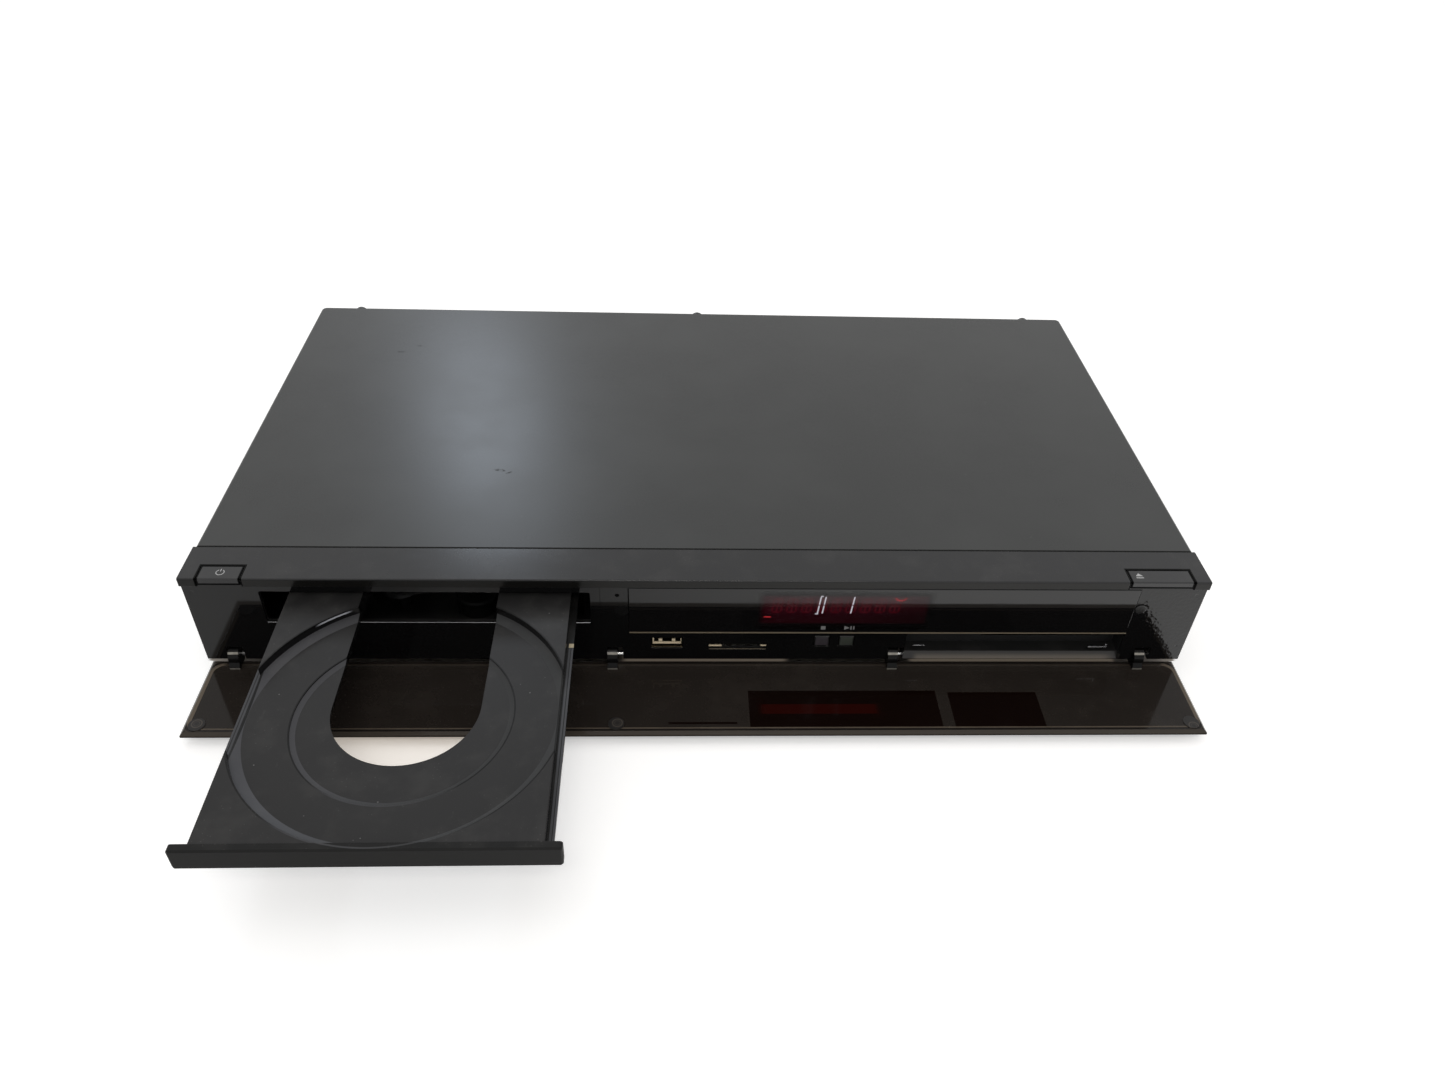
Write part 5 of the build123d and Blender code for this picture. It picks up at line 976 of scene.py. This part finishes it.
def front_trim(pale, gold, bright, black):
    """Painted highlights on the window's ledge, the opening's sill and the card slot's edge,
    the sockets' contacts, the recess's guides and a boss beside the window.
    """
    # Painted highlights: a pale strip along the window's ledge and a bright one along the
    # opening's sill
    trim("window_ledge_highlight", pale, "smoked_window", (-32.7, 186.4, 0.95, 1.5, 27.35, 27.9))
    trim("opening_sill_highlight", bright, "gloss_black", (-184.6, -49.1, 1.15, 1.6, 33.15, 33.5))
    trim("socket_contacts", gold, "connector_metal", (-22.4, -10.2, 1.9, 2.6, 20.1, 21.0),
         (-20.1, -18.5, 1.95, 3.0, 21.5, 22.8), (-14.3, -12.8, 1.95, 3.0, 21.5, 22.8),
         (-22.7, -22.1, 1.85, 2.5, 20.1, 23.7), (-10.5, -9.9, 1.85, 2.5, 20.1, 23.5))
    trim("card_contacts", gold, "connector_metal", (1.9, 7.6, 1.5, 2.4, 18.95, 19.65),
         (24.6, 27.2, 1.5, 2.4, 19.1, 19.6))
    # A painted highlight along the card slot's edge
    trim("card_edge_highlight", pale, "connector_metal", (1.9, 27.2, 1.45, 1.7, 17.25, 17.45))
    trim("module_guides", bright, "connector_metal", (92.6, 98.0, 2.2, 3.0, 18.6, 19.1),
         (172.0, 180.5, 2.2, 3.0, 17.6, 18.2), (179.6, 180.4, 2.2, 3.0, 18.2, 19.6))
    start()
    bpy.ops.mesh.primitive_cylinder_add(vertices=40, radius=2.4 * MM, depth=0.5 * MM,
                                        location=place(188.9, 1.22, 42.1),
                                        rotation=(math.pi / 2, 0, 0))
    boss = named("window_boss")
    bpy.ops.object.transform_apply(location=False, rotation=True, scale=False)
    bpy.ops.object.mode_set(mode="EDIT")
    faces_where(lambda c, n: n.y < -0.9)
    bpy.ops.mesh.inset(thickness=0.4 * MM)
    bpy.ops.transform.translate(value=(0, -0.1 * MM, 0))
    bpy.ops.mesh.inset(thickness=0.8 * MM)
    bpy.ops.transform.translate(value=(0, 0.3 * MM, 0))
    bpy.ops.object.mode_set(mode="OBJECT")
    settle(boss, black, "chassis", smooth=50)


def finish_nodes(finishes):
    """Gives each node of the CAD its look."""
    for node, look in finishes.items():
        mesh = nodes[node].data
        mesh.materials.clear()
        mesh.materials.append(look)


# Light, floor and camera


def area_light(name, x, y, z, width, height, watts, color, target):
    """A soft rectangular lamp that faces a point."""
    lamp = bpy.data.lights.new(name, "AREA")
    lamp.shape = "RECTANGLE"
    lamp.size = width
    lamp.size_y = height
    lamp.energy = watts
    lamp.color = color
    holder = bpy.data.objects.new(name, lamp)
    bpy.context.scene.collection.objects.link(holder)
    holder.location = (x, y, z)
    ahead = Vector(target) - holder.location
    holder.rotation_euler = ahead.to_track_quat("-Z", "Y").to_euler()
    return holder


def studio():
    """A white table, a white surround and three lamps."""
    start()
    bpy.ops.mesh.primitive_plane_add(size=60, location=(0, 0, 0))
    floor = named("floor")
    floor.data.materials.append(floor_white())
    world = bpy.data.worlds.new("studio")
    bpy.context.scene.world = world
    world.use_nodes = True
    tree = world.node_tree
    background = tree.nodes["Background"]
    background.inputs["Color"].default_value = (1, 1, 1, 1)
    # White to the camera, to mirrors and behind glass, dimmer as a light
    as_light, as_seen = 0.62, 1.0
    path = tree.nodes.new("ShaderNodeLightPath")
    seen = path.outputs["Is Camera Ray"]
    for ray in ("Is Glossy Ray", "Is Transmission Ray"):
        both = tree.nodes.new("ShaderNodeMath")
        both.operation = "MAXIMUM"
        tree.links.new(seen, both.inputs[0])
        tree.links.new(path.outputs[ray], both.inputs[1])
        seen = both.outputs[0]
    level = tree.nodes.new("ShaderNodeMapRange")
    level.inputs["To Min"].default_value = as_light
    level.inputs["To Max"].default_value = as_seen
    tree.links.new(seen, level.inputs["Value"])
    tree.links.new(level.outputs["Result"], background.inputs["Strength"])
    top = area_light("top_light", -0.2, -0.3, 1.9, 1.6, 1.2, 6.0, (1.0, 0.99, 0.97), (0, 0, 0))
    top.visible_glossy = False
    area_light("window_light", -0.438, 1.70, 1.198, 0.185, 0.34, 2.75, (0.77, 0.87, 1.0),
               (-0.113, 0.088, 0.059))
    area_light("room_light", 0.1, -1.3, 1.9, 0.7, 0.25, 8.0, (1.0, 0.96, 0.9), (0, 0, 0.03))


def camera():
    """The camera of the photograph, from a fit to the recorder's corners."""
    yaw, pitch, roll = -0.06626, 0.68902, 0.04810
    focal_pixels, photo_width = 1078.54, 1445
    right = Vector((math.cos(yaw), math.sin(yaw), 0))
    ahead = Vector((-math.sin(yaw) * math.cos(pitch), math.cos(yaw) * math.cos(pitch),
                    -math.sin(pitch)))
    up = right.cross(ahead)
    side = right * math.cos(roll) + up * math.sin(roll)
    top = up * math.cos(roll) - right * math.sin(roll)
    lens = bpy.data.cameras.new("camera")
    lens.sensor_fit = "HORIZONTAL"
    lens.sensor_width = 36
    lens.lens = 36 * focal_pixels / photo_width
    lens.clip_start = 0.01
    holder = bpy.data.objects.new("camera", lens)
    bpy.context.scene.collection.objects.link(holder)
    turn = Matrix((side, top, -ahead)).transposed().to_4x4()
    holder.matrix_world = Matrix.Translation(place(-16.543, -334.400, 355.646)) @ turn
    bpy.context.scene.camera = holder


# The recorder


bpy.context.scene.view_settings.view_transform = "Standard"

zinc = sheet_steel("zinc_sheet", (0.56, 0.57, 0.58), 0.38)
black_plastic = moulded("black_moulding", even(0.016), 0.5)
gloss_black = moulded("hinge_gloss", even(0.005), 0.14, grain=1.5, depth=0.006,
                      dust=0.2, edge=0.35)
white_gear = moulded("acetal", (0.72, 0.71, 0.66), 0.42, dust=0.1, Subsurface_Weight=0.08,
                     Subsurface_Radius=(0.002, 0.002, 0.0015))
black_gear = moulded("black_acetal", (0.006, 0.006, 0.0065), 0.5, dust=0.0,
                     Specular_IOR_Level=0.25)
steel = turned_metal("ground_steel", (0.62, 0.62, 0.61), 0.25)
can_steel = turned_metal("motor_can", (0.5, 0.5, 0.49), 0.36, 0.5)
board_green = circuit_board("board_green", (0.018, 0.085, 0.035))
board_tan = circuit_board("board_tan", (0.34, 0.22, 0.09), 0.5)
plated = turned_metal("tin_plate", (0.7, 0.69, 0.66), 0.3, 0.4)
feet_plastic = moulded("foot_moulding", even(0.013), 0.62, grain=0.6, depth=0.05)

finish_nodes({
    "top_cover": cover_paint(),
    "bottom_chassis": zinc,
    "rear_panel": moulded("rear_paint", (0.02, 0.02, 0.021), 0.45, grain=0.5, depth=0.025),
    "feet": feet_plastic,
    "foot_pads": rubber("foot_rubber"),
    "cover_screws": moulded("screw_zinc", even(0.03), 0.35, Metallic=0.8),
    "front_panel": front_gloss(),
    "display_window": window_acrylic(),
    "display_tube": lit_glass("lit_glass", 0.0),
    "display_board": board_green,
    "port_board": board_green,
    "key_switches": moulded("switch_moulding", even(0.03), 0.4, grain=0.3),
    "usb_shell": socket_gold(),
    "usb_tongue": tongue_plastic(),
    "card_socket": plated,
    "module_cage": sheet_steel("cage_sheet", even(0.6), 0.34, 1.4),
    "power_button": top_button("button_gloss", POWER_BUTTON),
    "open_button": top_button("button_gloss_right", OPEN_BUTTON),
    "stop_key": front_key("key_moulding", (0.030, 0.026, 0.030), STOP_KEY),
    "play_key": front_key("key_moulding_right", (0.030, 0.034, 0.028), PLAY_KEY),
    "door_panel": door_acrylic(),
    "door_ears": hook_gloss(),
    "door_pads": pad_rubber(),
    "hinge_rod": steel,
    "tray": tray_satin(),
    "drive_frame": moulded("drive_moulding", (0.008, 0.008, 0.0085), 0.5, grain=0.5, depth=0.03,
                           Specular_IOR_Level=0.3),
    "clamp_bridge": zinc,
    "clamp_puck": black_plastic,
    "loading_wheel": white_gear,
    "idler_pulley": black_gear,
    "motor_pulley": white_gear,
    # Painted shade: the loading motor's can is black, as it lies in shade inside the drive
    "loading_motor": moulded("motor_painted_shade", even(0.005), 0.6, dust=0.0,
                             Specular_IOR_Level=0.2),
    "drive_belt": rubber("belt_rubber"),
    "carrier_frame": sheet_steel("carrier_sheet", even(0.5), 0.4, 1.8),
    "cam_slider": white_gear,
    "spindle_motor": can_steel,
    "turntable": moulded("turntable_moulding", (0.04, 0.04, 0.041), 0.5, grain=0.3),
    "guide_rods": steel,
    "pickup_sled": cast_metal("sled_casting", (0.36, 0.36, 0.37), 0.45),
    "pickup_lens": coated_lens(),
    "sled_motor": can_steel,
    "lead_screw": steel,
    "disk_bracket": zinc,
    "hard_disk": disk_cast(),
    "main_board": board_green,
    "heat_sink": cast_metal("anodised_fins", (0.16, 0.16, 0.165), 0.4),
    "power_board": board_tan,
    "transformer": tape_yellow(),
    "capacitors": capacitor_can(),
    "fan_frame": black_plastic,
    "fan_rotor": moulded("fan_moulding", even(0.024), 0.42, grain=0.4),
    "aerial_sockets": plated,
    "hdmi_socket": socket_gold(),
    "network_socket": moulded("network_moulding", even(0.03), 0.45),
    "optical_socket": moulded("optical_moulding", even(0.02), 0.4),
    "phono_sockets": moulded("phono_moulding", (0.025, 0.025, 0.026), 0.45),
    "power_inlet": moulded("inlet_moulding", even(0.02), 0.5),
})

ink = printed("pale_ink", even(0.42))
power_sign(ink)
eject_sign(ink)
key_signs(printed("window_ink", even(0.16)))
display_characters(glowing("segment_lit", (0.92, 0.90, 1.0), 3.6),
                   # The unlit bars' faint glow is painted light
                   glowing("segment_unlit", (0.25, 0.010, 0.028), 1.25))
display_marks(lit_glass("lit_filter", 1.0), glowing("arc_red", (0.95, 0.05, 0.06), 5.0))
# The pale strips and the sill's bright strip are painted highlights
front_trim(printed("pale_edge_highlight", (0.13, 0.105, 0.07), 0.3),
           printed("contact_gold", (0.62, 0.52, 0.36), 0.25),
           turned_metal("bright_edge", (0.62, 0.62, 0.64), 0.22, 0.4), gloss_black)

studio()
camera()
